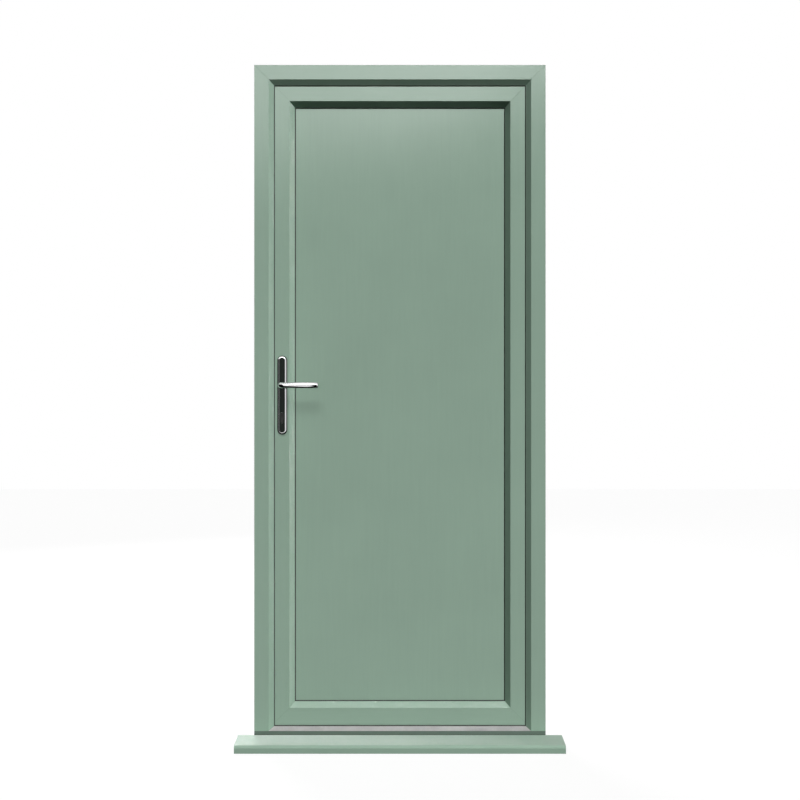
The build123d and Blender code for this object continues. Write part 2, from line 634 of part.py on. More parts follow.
FACEPLATE_SCREWS = (312.0, 930.0, 1200.0, 1838.0)
FACEPLATE_SCREW_LENGTH = 13.0
faceplate_screws = [
    Plane(origin=(lock_x(SASH_EDGE), LOCK_Y, z), z_dir=(-1, 0, 0)) for z in FACEPLATE_SCREWS
]

with BuildPart() as sash_stile_lock:
    with BuildSketch(LOCK_PLANE.offset(SASH_DATUM)):
        draw_section(SASH_OUTLINE, SASH_CHAMBERS)
    extrude(amount=SASH_SIDE)
    split(bisect_by=MITRE_TOP_LOCK, keep=Keep.BOTTOM)
    split(bisect_by=MITRE_FOOT_LOCK, keep=Keep.TOP)
    rout_for_furniture()
    rout_for_gear(SASH_EDGE + 3, SASH_EDGE + 11)
    drill(faceplate_screws, PILOT_R, FACEPLATE_SCREW_LENGTH)

with BuildPart() as sash_stile_hinge:
    with BuildSketch(HINGE_PLANE):
        draw_section(SASH_OUTLINE, SASH_CHAMBERS)
    extrude(amount=SASH_SIDE)
    split(bisect_by=MITRE_TOP_HINGE, keep=Keep.TOP)
    split(bisect_by=MITRE_FOOT_HINGE, keep=Keep.TOP)
    drill(sash_leaf_screws, PILOT_R, KEEP_SCREW_LENGTH)

with BuildPart() as sash_top_rail:
    with BuildSketch(HEAD_PLANE):
        draw_section(SASH_OUTLINE, SASH_CHAMBERS)
    extrude(amount=DOOR_W)
    split(bisect_by=MITRE_TOP_LOCK, keep=Keep.TOP)
    split(bisect_by=MITRE_TOP_HINGE, keep=Keep.BOTTOM)

with BuildPart() as sash_bottom_rail:
    with BuildSketch(FOOT_PLANE):
        draw_section(SASH_OUTLINE, SASH_CHAMBERS)
    extrude(amount=DOOR_W)
    split(bisect_by=MITRE_FOOT_LOCK, keep=Keep.BOTTOM)
    split(bisect_by=MITRE_FOOT_HINGE, keep=Keep.BOTTOM)

# Sash reinforcement
SASH_STEEL_END = 106.0
SASH_STEEL_SIDE = head_z(SASH_STEEL_END) - foot_z(SASH_STEEL_END)

with BuildPart() as sash_steel_lock:
    with BuildSketch(LOCK_PLANE.offset(foot_z(SASH_STEEL_END))):
        Polygon(*SASH_STEEL, align=None)
    extrude(amount=SASH_STEEL_SIDE)
    rout_for_furniture()
    rout_for_gear(SASH_EDGE + 40, SASH_EDGE + 53)

with BuildPart() as sash_steel_hinge:
    with BuildSketch(HINGE_PLANE.offset(SASH_STEEL_END)):
        Polygon(*SASH_STEEL, align=None)
    extrude(amount=SASH_STEEL_SIDE)

with BuildPart() as sash_steels_rails:
    with BuildSketch(HEAD_PLANE.offset(SASH_STEEL_END)):
        Polygon(*SASH_STEEL, align=None)
    extrude(amount=DOOR_W - 2 * SASH_STEEL_END)
    mirror(about=Plane.XY.offset((head_z(0) + foot_z(0)) / 2))


# Panel: two skins bonded to a foam core
def make_panel_layer(front, thick):
    """One layer of the panel, from its front face back."""
    with BuildPart() as layer:
        with BuildSketch(front_plane(front)):
            with Locations((0, (head_z(0) + foot_z(0)) / 2)):
                Rectangle(DOOR_W - 2 * PANEL_EDGE, head_z(PANEL_EDGE) - foot_z(PANEL_EDGE))
        extrude(amount=-thick)
    return layer.part


panel_outer_skin = make_panel_layer(PANEL_OUT, PANEL_SKIN)
panel_core = make_panel_layer(PANEL_OUT + PANEL_SKIN, PANEL_THICK - 2 * PANEL_SKIN)
panel_inner_skin = make_panel_layer(PANEL_IN - PANEL_SKIN, PANEL_SKIN)

# Panel gasket: a ring in the groove of the glazing upstand, with a bevelled lip
PANEL_GASKET_F = (112.0, 124.7)
PANEL_ROOT_F = (113.2, 115.8)
with BuildPart() as panel_gasket:
    with BuildSketch(front_plane(PANEL_OUT)):
        draw_ring(*PANEL_GASKET_F)
    extrude(amount=PANEL_OUT - SASH_LIP)
    with BuildSketch(front_plane(SASH_LIP)):
        draw_ring(*PANEL_ROOT_F)
    extrude(amount=ROOT)

# Glazing beads, clipped in from the room side: two short and two long ones, mitred
with BuildPart() as glazing_beads_horizontal:
    with BuildSketch(HEAD_PLANE):
        draw_section(BEAD_OUTLINE, [BEAD_CHAMBER])
    extrude(amount=DOOR_W)
    split(bisect_by=MITRE_TOP_LOCK, keep=Keep.TOP)
    split(bisect_by=MITRE_TOP_HINGE, keep=Keep.BOTTOM)
    mirror(about=Plane.XY.offset((head_z(0) + foot_z(0)) / 2))

with BuildPart() as glazing_beads_vertical:
    with BuildSketch(LOCK_PLANE.offset(SASH_DATUM)):
        draw_section(BEAD_OUTLINE, [BEAD_CHAMBER])
    extrude(amount=SASH_SIDE)
    split(bisect_by=MITRE_TOP_LOCK, keep=Keep.BOTTOM)
    split(bisect_by=MITRE_FOOT_LOCK, keep=Keep.TOP)
    mirror(about=Plane.YZ)

# Packers between the panel's edge and the sash
PACKER_LENGTH = 100.0
PACKER_WIDTH = 26.0
PACKER_X = 230.0
PACKER_Z = (310.0, 1790.0)
with BuildPart() as glazing_packers:
    with BuildSketch(front_plane(PANEL_OUT + PANEL_THICK / 2 - PACKER_WIDTH / 2)):
        edge_mid = (GLAZING_REBATE + PANEL_EDGE) / 2
        thick = PANEL_EDGE - GLAZING_REBATE
        for z in (head_z(edge_mid), foot_z(edge_mid)):
            with Locations((-PACKER_X, z), (PACKER_X, z)):
                Rectangle(PACKER_LENGTH, thick)
        for x in (lock_x(edge_mid), hinge_x(edge_mid)):
            with Locations((x, PACKER_Z[0]), (x, PACKER_Z[1])):
                Rectangle(thick, PACKER_LENGTH)
    extrude(amount=-PACKER_WIDTH)

# Sash gasket: a ring on the flange that meets the frame's inner face
SASH_GASKET_F = (32.0, 44.0)
SASH_ROOT_F = (36.2, 38.8)
with BuildPart() as sash_gasket:
    with BuildSketch(front_plane(FLANGE_OUT)):
        draw_ring(*SASH_GASKET_F)
    extrude(amount=FLANGE_OUT - FRAME_DEPTH - GASKET_GAP)
    with BuildSketch(front_plane(FLANGE_OUT + ROOT)):
        draw_ring(*SASH_ROOT_F)
    extrude(amount=ROOT)


# Handle plates: long round-ended covers with a rounded rim round a sunk face, hollow behind,
# with bosses for the through screws
RIM_R = 6.0
FACE_BORDER = 6.4
FACE_RECESS = 0.4
PLATE_SHELL = 3.0
PLATE_POCKET = 6.5
BOSS_R = 5.5
LEVER_NECK_R = 9.0
LEVER_CLEAR = 0.4
LEVER_BORE_R = LEVER_NECK_R + LEVER_CLEAR
SASH_MID = front_plane((SASH_OUT + SASH_IN) / 2)
plate_screw_points = [(AXIS_X, PLATE_Z - PLATE_SCREW), (AXIS_X, PLATE_Z + PLATE_SCREW)]

with BuildPart() as outside_handle_plate:
    with BuildSketch(front_plane(SASH_OUT)):
        with Locations((AXIS_X, PLATE_Z)):
            SlotOverall(PLATE_LENGTH, PLATE_WIDTH, rotation=90)
    extrude(amount=PLATE_THICK)
    fillet(faces().sort_by(Axis.Y)[0].edges(), radius=RIM_R)
    with BuildSketch(front_plane(SASH_OUT - PLATE_THICK + FACE_RECESS)):
        with Locations((AXIS_X, PLATE_Z)):
            SlotOverall(PLATE_LENGTH - 2 * FACE_BORDER, PLATE_WIDTH - 2 * FACE_BORDER, rotation=90)
    extrude(amount=FACE_RECESS, mode=Mode.SUBTRACT)
    with BuildSketch(front_plane(SASH_OUT)):
        with Locations((AXIS_X, PLATE_Z)):
            SlotOverall(PLATE_LENGTH - 2 * PLATE_SHELL, PLATE_WIDTH - 2 * PLATE_SHELL, rotation=90)
        with Locations(*plate_screw_points):
            Circle(BOSS_R, mode=Mode.SUBTRACT)
    extrude(amount=PLATE_POCKET, mode=Mode.SUBTRACT)
    with BuildSketch(front_plane(SASH_OUT)):
        draw_cylinder_profile(PROFILE_CLEAR)
        with Locations((AXIS_X, SPINDLE_Z)):
            Circle(LEVER_BORE_R)
    extrude(amount=PLATE_THICK, mode=Mode.SUBTRACT)
    with BuildSketch(front_plane(SASH_OUT)):
        with Locations(*plate_screw_points):
            Circle(HANDLE_SCREW_R)
    extrude(amount=PLATE_POCKET, mode=Mode.SUBTRACT)

inner_screw_planes = [
    Plane(origin=(x, SASH_IN + PLATE_THICK, z), z_dir=(0, 1, 0)) for x, z in plate_screw_points
]
HANDLE_HEAD_R = 4.6
HANDLE_HEAD = 2.3
with BuildPart() as inside_handle_plate:
    mirror(outside_handle_plate.part, about=SASH_MID)
    with Locations(*[plane.location for plane in inner_screw_planes]):
        CounterSinkHole(HANDLE_SCREW_R + 0.05, HANDLE_HEAD_R + HEAD_CLEAR, depth=PLATE_THICK)

# Handle screws: from the room side through the sash into the outer plate
HANDLE_SCREW_LENGTH = SASH_IN + PLATE_THICK - SASH_OUT + 5.5
top_align = (Align.CENTER, Align.CENTER, Align.MAX)
with BuildPart() as handle_screws:
    with Locations(*[plane.location for plane in inner_screw_planes]):
        Cylinder(HANDLE_SCREW_R - THREAD_CLEAR, HANDLE_SCREW_LENGTH, align=top_align)
        Cone(HANDLE_SCREW_R - THREAD_CLEAR, HANDLE_HEAD_R, HANDLE_HEAD, align=top_align)

# Levers: a round neck that turns in the plate and swells round a bend into an oval arm
LEVER_HEIGHT = 18.0
LEVER_DEPTH = 13.0
LEVER_ARM_Y = -42.0
LEVER_BEND_R = 13.0
LEVER_TIP_X = AXIS_X + 116.0
LEVER_TIP_R = 3.4
LEVER_OVAL_X = AXIS_X + 23.0
NECK_START = SASH_OUT - 6.0
NECK_STEP = 0.8
NECK_FREE = SASH_OUT - PLATE_THICK - NECK_STEP
SPINDLE_SIDE = 8.0
SPINDLE_HOLE = SPINDLE_SIDE + 0.1
SPINDLE_END = -12.0
SPINDLE_BEVEL = 0.6


def oval_section(x):
    """Oval section of the lever's arm, across it at x."""
    across = Plane(origin=(x, LEVER_ARM_Y, SPINDLE_Z), x_dir=(0, 1, 0), z_dir=(1, 0, 0))
    with BuildSketch(across) as oval:
        Ellipse(LEVER_DEPTH / 2, LEVER_HEIGHT / 2)
    return oval.sketch


def neck_section(y):
    """Round section of the lever's neck at depth y."""
    with BuildSketch(front_plane(y)) as ring:
        with Locations((AXIS_X, SPINDLE_Z)):
            Circle(LEVER_NECK_R)
    return ring.sketch


with BuildPart() as outside_lever:
    with BuildLine() as lever_route:
        FilletPolyline(
            (AXIS_X, NECK_FREE, SPINDLE_Z), (AXIS_X, LEVER_ARM_Y, SPINDLE_Z),
            (LEVER_TIP_X, LEVER_ARM_Y, SPINDLE_Z), radius=LEVER_BEND_R,
        )
    neck_end = LEVER_ARM_Y + LEVER_BEND_R
    lever_sections = [
        neck_section(NECK_FREE), neck_section(neck_end), oval_section(LEVER_OVAL_X),
        oval_section(LEVER_TIP_X),
    ]
    sweep(lever_sections, path=lever_route.wire(), multisection=True)
    fillet(faces().sort_by(Axis.X)[-1].edges(), radius=LEVER_TIP_R)
    extrude(neck_section(NECK_START), amount=NECK_START - NECK_FREE)
    with BuildSketch(front_plane(NECK_START)):
        with Locations((AXIS_X, SPINDLE_Z)):
            Rectangle(SPINDLE_HOLE, SPINDLE_HOLE)
    extrude(amount=NECK_START - SPINDLE_END, mode=Mode.SUBTRACT)

with BuildPart() as inside_lever:
    mirror(outside_lever.part, about=SASH_MID)

# Spindle: one square bar through both levers and the follower
with BuildPart() as spindle:
    with BuildSketch(front_plane(SPINDLE_END + 1.0)):
        with Locations((AXIS_X, SPINDLE_Z)):
            Rectangle(SPINDLE_SIDE, SPINDLE_SIDE)
    extrude(amount=-(SASH_OUT + SASH_IN - 2 * (SPINDLE_END + 1.0)))
    chamfer(edges().filter_by(Axis.Y), length=SPINDLE_BEVEL)

# Follower: the hub in the lock case that the spindle turns, with its driving arm
FOLLOWER_R = 9.0
JOURNAL_R = 8.0
FOLLOWER_ARM = 16.0
with BuildPart() as follower:
    with BuildSketch(front_plane(LOCK_Y + 5.5)):
        with Locations((AXIS_X, SPINDLE_Z)):
            Circle(FOLLOWER_R)
        with Locations((AXIS_X, SPINDLE_Z - FOLLOWER_ARM / 2)):
            Rectangle(7.0, FOLLOWER_ARM)
    extrude(amount=11.0)
    with BuildSketch(front_plane(CASE_Y[1])):
        with Locations((AXIS_X, SPINDLE_Z)):
            Circle(JOURNAL_R)
    extrude(amount=CASE_Y[1] - CASE_Y[0])
    with BuildSketch(front_plane(CASE_Y[1])):
        with Locations((AXIS_X, SPINDLE_Z)):
            Rectangle(SPINDLE_HOLE, SPINDLE_HOLE)
    extrude(amount=CASE_Y[1] - CASE_Y[0], mode=Mode.SUBTRACT)

# Lock faceplate: a flat steel strip in the groove, with a window for each bolt and screw
FACEPLATE_THICK = 3.0
WINDOW_CLEAR = 0.3
HOOK_WINDOW = (7.5, 33.8)
FACEPLATE_Y = (LOCK_Y - 7.9, LOCK_Y + 7.9)
bolt_window_y = (BOLT_Y[0] - WINDOW_CLEAR, BOLT_Y[1] + WINDOW_CLEAR)
HOOK_Y = (42.0, 48.0)
HOOK_CLEAR = 0.4
hook_window_y = (HOOK_Y[0] - HOOK_CLEAR, HOOK_Y[1] + HOOK_CLEAR)
cylinder_screw_plane = Plane(
    origin=(lock_x(SASH_EDGE), LOCK_Y, CYLINDER_SCREW_Z), z_dir=(-1, 0, 0)
)

with BuildPart() as lock_faceplate:
    with BuildSketch(Plane.XY.offset(FACEPLATE_LOW)):
        face = (lock_x(SASH_EDGE), lock_x(SASH_EDGE + FACEPLATE_THICK))
        Polygon(*block_section(*face, *FACEPLATE_Y), align=None)
    extrude(amount=FACEPLATE_HIGH - FACEPLATE_LOW)
    for low, high in (LATCH_Z, DEADBOLT_Z):
        cut_block(face, bolt_window_y, (low - WINDOW_CLEAR, high + WINDOW_CLEAR))
    for level in HOOK_LEVELS.values():
        cut_block(face, hook_window_y, (level + HOOK_WINDOW[0], level + HOOK_WINDOW[1]))
    with Locations(*[plane.location for plane in faceplate_screws]):
        CounterSinkHole(PILOT_R, SCREW_HEAD_R + HEAD_CLEAR, depth=FACEPLATE_THICK)
    with Locations(cylinder_screw_plane.location):
        CounterSinkHole(HANDLE_SCREW_R + 0.1, HANDLE_HEAD_R + HEAD_CLEAR, depth=FACEPLATE_THICK)

# Drive strip: slides behind the faceplate, with slots where bolts and screws pass
STRIP_F = (53.3, 56.3)
STRIP_Y = (38.5, 51.5)
STRIP_SLOT_CLEAR = 0.6
HOOK_SLOT = (-4.0, 34.5)
SCREW_SLOT_HALF = 3.0
LUG_F = 62.0
LUG_Z = (1083.0, 1089.0)
LUG_Y = (42.0, 48.0)

with BuildPart() as drive_strip:
    strip_x = (lock_x(STRIP_F[0]), lock_x(STRIP_F[1]))
    with BuildSketch(Plane.XY.offset(STRIP_LOW)):
        Polygon(*block_section(*strip_x, *STRIP_Y), align=None)
    extrude(amount=STRIP_HIGH - STRIP_LOW)
    with BuildSketch(Plane.XY.offset(LUG_Z[0])):
        Polygon(*block_section(strip_x[1], lock_x(LUG_F), *LUG_Y), align=None)
    extrude(amount=LUG_Z[1] - LUG_Z[0])
    for low, high in (LATCH_Z, DEADBOLT_Z):
        z = (low - STRIP_TRAVEL - STRIP_SLOT_CLEAR, high + STRIP_SLOT_CLEAR)
        cut_block(strip_x, bolt_window_y, z)
    for level in HOOK_LEVELS.values():
        z = (level + HOOK_SLOT[0] - STRIP_TRAVEL, level + HOOK_SLOT[1])
        cut_block(strip_x, hook_window_y, z)
    for level in FACEPLATE_SCREWS[1:3] + (CYLINDER_SCREW_Z,):
        z = (level - SCREW_SLOT_HALF - STRIP_TRAVEL, level + SCREW_SLOT_HALF)
        cut_block(strip_x, (LOCK_Y - SCREW_SLOT_HALF, LOCK_Y + SCREW_SLOT_HALF), z)

# Lock case: a closed box round the latch, deadbolt, follower and cam
with BuildPart() as lock_case:
    with BuildSketch(Plane.XY.offset(CASE_Z[0])):
        Polygon(*block_section(lock_x(CASE_FRONT), lock_x(CASE_DEPTH_F), *CASE_Y), align=None)
    extrude(amount=CASE_Z[1] - CASE_Z[0])
    inner_x = (lock_x(CASE_FRONT + CASE_WALL), lock_x(CASE_DEPTH_F - CASE_WALL))
    inner_z = (CASE_Z[0] + CASE_WALL, CASE_Z[1] - CASE_WALL)
    cut_block(inner_x, (CASE_Y[0] + CASE_WALL, CASE_Y[1] - CASE_WALL), inner_z)
    front_x = (lock_x(CASE_FRONT), lock_x(CASE_FRONT + CASE_WALL))
    for low, high in (LATCH_Z, DEADBOLT_Z):
        cut_block(front_x, bolt_window_y, (low - WINDOW_CLEAR, high + WINDOW_CLEAR))
    lug_path = (LUG_Z[0] - 1.0, LUG_Z[1] + STRIP_TRAVEL + 1.0)
    cut_block(front_x, (LUG_Y[0] - 1.0, LUG_Y[1] + 1.0), lug_path)
    with BuildSketch(front_plane(CASE_Y[0] - 1)):
        draw_cylinder_profile(PROFILE_CLEAR)
        with Locations((AXIS_X, SPINDLE_Z)):
            Circle(JOURNAL_R + 0.05)
    extrude(amount=-(CASE_Y[1] - CASE_Y[0] + 2), mode=Mode.SUBTRACT)
    with Locations(cylinder_screw_plane.location):
        Hole(HANDLE_SCREW_R + 0.3, depth=CASE_FRONT + 10 - SASH_EDGE)

# Latch bolt, at rest drawn back flush with the faceplate, bevelled on its closing side
LATCH_BACK = 74.0
LATCH_OUTLINE = [
    (SASH_EDGE, BOLT_Y[1]), (SASH_EDGE, BOLT_Y[1] - 2.0), (SASH_EDGE + 7.5, BOLT_Y[0]),
    (LATCH_BACK, BOLT_Y[0]), (LATCH_BACK, BOLT_Y[1]),
]
with BuildPart() as latch_bolt:
    with BuildSketch(LOCK_PLANE.offset(LATCH_Z[0])):
        Polygon(*LATCH_OUTLINE, align=None)
    extrude(amount=LATCH_Z[1] - LATCH_Z[0])

# Deadbolt, square ended
DEADBOLT_BACK = 76.0
DEADBOLT_BEVEL = 0.8
with BuildPart() as deadbolt:
    with BuildSketch(LOCK_PLANE.offset(DEADBOLT_Z[0])):
        Polygon(*block_section(SASH_EDGE, DEADBOLT_BACK, *BOLT_Y), align=None)
    extrude(amount=DEADBOLT_Z[1] - DEADBOLT_Z[0])
    chamfer(edges().filter_by(Axis.Z).sort_by(Axis.X)[:2], length=DEADBOLT_BEVEL)


# Hooks: a claw, part of a ring about its pivot, carried by an arm and a hub with journals
HOOK_PIVOT_F = 64.0
HOOK_OUTER = 34.0
HOOK_INNER = 26.0
HOOK_HUB = 8.0
HOOK_JOURNAL = 3.0
CLAW_START = 38.0
CLAW_END = 108.0
ARM_END = 50.0
REACH = 60.0


def polar(radius, degrees):
    """Point at a radius and an angle."""
    return (radius * math.cos(math.radians(degrees)), radius * math.sin(math.radians(degrees)))


def make_hook(level):
    """One hook at its level, drawn back into its case."""
    pivot = Plane(origin=(lock_x(HOOK_PIVOT_F), HOOK_Y[1], level), x_dir=(1, 0, 0), z_dir=(0, -1, 0))
    back = Plane(origin=(lock_x(HOOK_PIVOT_F), HOOK_CASE_Y[1], level), x_dir=(1, 0, 0), z_dir=(0, -1, 0))
    middle = (CLAW_START + CLAW_END) / 2
    with BuildPart() as hook:
        with BuildSketch(pivot):
            Circle(HOOK_OUTER)
            Circle(HOOK_INNER, mode=Mode.SUBTRACT)
            Polygon(
                (0, 0), polar(REACH, CLAW_START), polar(REACH, middle), polar(REACH, CLAW_END),
                align=None, mode=Mode.INTERSECT,
            )
            Polygon((0, 0), polar(HOOK_INNER + 1, CLAW_START), polar(HOOK_INNER + 1, ARM_END), align=None)
            Circle(HOOK_HUB)
        extrude(amount=HOOK_Y[1] - HOOK_Y[0])
        with BuildSketch(back):
            Circle(HOOK_JOURNAL)
        extrude(amount=HOOK_CASE_Y[1] - HOOK_CASE_Y[0])
    return hook.part


def make_hook_case(level):
    """Case of one hook, open to the front where the claw swings out."""
    low, high = level + HOOK_CASE_Z[0], level + HOOK_CASE_Z[1]
    with BuildPart() as case:
        with BuildSketch(LOCK_PLANE.offset(low)):
            Polygon(*block_section(CASE_FRONT, HOOK_CASE_F, *HOOK_CASE_Y), align=None)
        extrude(amount=high - low)
        inner_x = (lock_x(CASE_FRONT), lock_x(HOOK_CASE_F - CASE_WALL))
        inner_y = (HOOK_CASE_Y[0] + CASE_WALL, HOOK_CASE_Y[1] - CASE_WALL)
        cut_block(inner_x, inner_y, (low + CASE_WALL, high - CASE_WALL))
        pivot = Plane(origin=(lock_x(HOOK_PIVOT_F), HOOK_CASE_Y[0] - 1, level), z_dir=(0, -1, 0))
        with Locations(pivot.location):
            Hole(HOOK_JOURNAL + 0.05, depth=2 + HOOK_CASE_Y[1] - HOOK_CASE_Y[0])
    return case.part


hooks = {name: make_hook(level) for name, level in HOOK_LEVELS.items()}
hook_cases = {name: make_hook_case(level) for name, level in HOOK_LEVELS.items()}

# Profile cylinder: the body with its bridge, two plugs and the cam between them
with BuildPart() as cylinder_body:
    with BuildSketch(front_plane(CYLINDER_IN)):
        draw_cylinder_profile(0)
    extrude(amount=CYLINDER_IN - CYLINDER_OUT)
    with BuildSketch(front_plane(CYLINDER_IN)):
        with Locations((AXIS_X, CYLINDER_Z)):
            Circle(PLUG_R + PLUG_CLEAR)
    extrude(amount=CYLINDER_IN - CYLINDER_OUT, mode=Mode.SUBTRACT)
    bridge_top = CYLINDER_Z - CAM_R - 1.0
    cut_block((AXIS_X - 10, AXIS_X + 10), CAM_GAP, (bridge_top, CYLINDER_Z + 10))
    with Locations(cylinder_screw_plane.location):
        Hole(HANDLE_SCREW_R, depth=BACKSET_F + 10 - SASH_EDGE)

KEYWAY = (2.2, 8.0)
KEYWAY_DEPTH = 24.0


def make_plug(outer_end, inner_end, inward):
    """One plug, turned to fit the body's bore, with a keyway in its outer end."""
    with BuildPart() as plug:
        with BuildSketch(front_plane(outer_end)):
            with Locations((AXIS_X, CYLINDER_Z)):
                Circle(PLUG_R)
        extrude(amount=-inward * abs(inner_end - outer_end))
        with BuildSketch(front_plane(outer_end)):
            with Locations((AXIS_X, CYLINDER_Z - 0.5)):
                Rectangle(*KEYWAY)
        extrude(amount=-inward * KEYWAY_DEPTH, mode=Mode.SUBTRACT)
    return plug.part


outside_plug = make_plug(CYLINDER_OUT, CAM_GAP[0] - 0.2, 1)
inside_plug = make_plug(CYLINDER_IN, CAM_GAP[1] + 0.2, -1)

with BuildPart() as cylinder_cam:
    with BuildSketch(front_plane(CAM_GAP[1] + 0.2)):
        with Locations((AXIS_X, CYLINDER_Z)):
            Circle(PLUG_R)
    extrude(amount=CAM_GAP[1] - CAM_GAP[0] - 0.6)
    with BuildSketch(front_plane(CAM_GAP[1] - 0.5)):
        with Locations((AXIS_X, CYLINDER_Z)):
            Circle(PLUG_R + 1.5)
        with Locations((AXIS_X, CYLINDER_Z + CAM_R / 2)):
            Rectangle(6.0, CAM_R)
    extrude(amount=CAM_GAP[1] - CAM_GAP[0] - 1.0)

# Cylinder screw: from the faceplate through the strip's slot and the case into the bridge
CYLINDER_SCREW_LENGTH = BACKSET_F + 5.0 - SASH_EDGE
with BuildPart() as cylinder_screw:
    with Locations(cylinder_screw_plane.location):
        Cylinder(HANDLE_SCREW_R - THREAD_CLEAR, CYLINDER_SCREW_LENGTH, align=top_align)
        Cone(HANDLE_SCREW_R - THREAD_CLEAR, HANDLE_HEAD_R, HANDLE_HEAD, align=top_align)

# Screws of the sash leaves and of the faceplate
with BuildPart() as sash_screws:
    screw_set(sash_leaf_screws, KEEP_SCREW_LENGTH)
    screw_set(faceplate_screws, FACEPLATE_SCREW_LENGTH)

finished = {
    "cill": cill.part, "cill_end_caps": cill_end_caps.part,
    "threshold": threshold.part, "threshold_seal": threshold_seal.part,
    "frame_head": frame_head.part, "frame_jamb_lock": frame_jamb_lock.part,
    "frame_jamb_hinge": frame_jamb_hinge.part, "frame_steel_head": frame_steel_head.part,
    "frame_steel_lock": frame_steel_lock.part, "frame_steel_hinge": frame_steel_hinge.part,
    "frame_gasket": frame_gasket.part, "centre_keep": centre_keep.part,
    "hinge_pins": hinge_pins.part, "frame_screws": frame_screws.part,
    "sash_stile_lock": sash_stile_lock.part, "sash_stile_hinge": sash_stile_hinge.part,
    "sash_top_rail": sash_top_rail.part, "sash_bottom_rail": sash_bottom_rail.part,
    "sash_steel_lock": sash_steel_lock.part, "sash_steel_hinge": sash_steel_hinge.part,
    "sash_steels_rails": sash_steels_rails.part, "panel_outer_skin": panel_outer_skin,
    "panel_core": panel_core, "panel_inner_skin": panel_inner_skin,
    "panel_gasket": panel_gasket.part,
    "glazing_beads_horizontal": glazing_beads_horizontal.part,
    "glazing_beads_vertical": glazing_beads_vertical.part,
    "glazing_packers": glazing_packers.part, "sash_gasket": sash_gasket.part,
    "outside_handle_plate": outside_handle_plate.part,
    "inside_handle_plate": inside_handle_plate.part, "handle_screws": handle_screws.part,
    "outside_lever": outside_lever.part, "inside_lever": inside_lever.part,
    "spindle": spindle.part, "follower": follower.part,
    "lock_faceplate": lock_faceplate.part, "drive_strip": drive_strip.part,
    "lock_case": lock_case.part, "latch_bolt": latch_bolt.part, "deadbolt": deadbolt.part,
    "cylinder_body": cylinder_body.part, "outside_plug": outside_plug,
    "inside_plug": inside_plug, "cylinder_cam": cylinder_cam.part,
    "cylinder_screw": cylinder_screw.part, "sash_screws": sash_screws.part,
}
for name in HOOK_LEVELS:
    finished["hook_keep_" + name] = hook_keeps[name]
    finished["hook_case_" + name] = hook_cases[name]
    finished["hook_" + name] = hooks[name]
for name in HINGE_LEVELS:
    finished["hinge_frame_leaf_" + name] = frame_leaves[name]
    finished["hinge_sash_leaf_" + name] = sash_leaves[name]

for name, part in finished.items():
    part.label = name
    export_step(part, "parts/" + name + ".step")
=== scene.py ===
import logging
import math
from dataclasses import dataclass, field
from enum import Enum

import bmesh
import bpy
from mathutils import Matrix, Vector


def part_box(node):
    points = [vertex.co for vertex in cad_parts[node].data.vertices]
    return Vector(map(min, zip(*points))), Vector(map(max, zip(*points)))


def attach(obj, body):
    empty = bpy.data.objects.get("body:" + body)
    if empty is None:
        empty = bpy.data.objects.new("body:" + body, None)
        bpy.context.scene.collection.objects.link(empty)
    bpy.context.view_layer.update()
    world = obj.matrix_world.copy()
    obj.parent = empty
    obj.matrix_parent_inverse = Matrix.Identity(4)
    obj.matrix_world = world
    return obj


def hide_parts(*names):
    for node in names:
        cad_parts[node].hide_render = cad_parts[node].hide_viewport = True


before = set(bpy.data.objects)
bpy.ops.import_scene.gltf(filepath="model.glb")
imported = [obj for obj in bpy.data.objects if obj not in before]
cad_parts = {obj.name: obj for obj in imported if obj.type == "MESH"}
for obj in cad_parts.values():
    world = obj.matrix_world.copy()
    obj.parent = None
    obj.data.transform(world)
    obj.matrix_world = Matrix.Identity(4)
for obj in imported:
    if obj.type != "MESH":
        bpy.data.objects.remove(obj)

logging.basicConfig(level=logging.INFO, format="%(name)s: %(message)s")
LOG = logging.getLogger("pvc_door")
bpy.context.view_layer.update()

Colour = tuple[float, float, float]
Point = tuple[float, float, float]


def rgba(colour: Colour) -> tuple[float, float, float, float]:
    """Give a linear colour with full alpha."""
    return (*colour, 1.0)


# Wiring helpers


@dataclass(frozen=True)
class Ramp:
    """A change of value between two limits, with the end values held outside them."""

    low: float
    high: float
    out_low: float = 0.0
    out_high: float = 1.0
    smooth: bool = False


@dataclass(frozen=True)
class Noise:
    """Settings of a noise pattern, with its scale in waves per metre."""

    scale: float | bpy.types.NodeSocket
    detail: float = 2.0
    roughness: float = 0.5
    distortion: float = 0.0


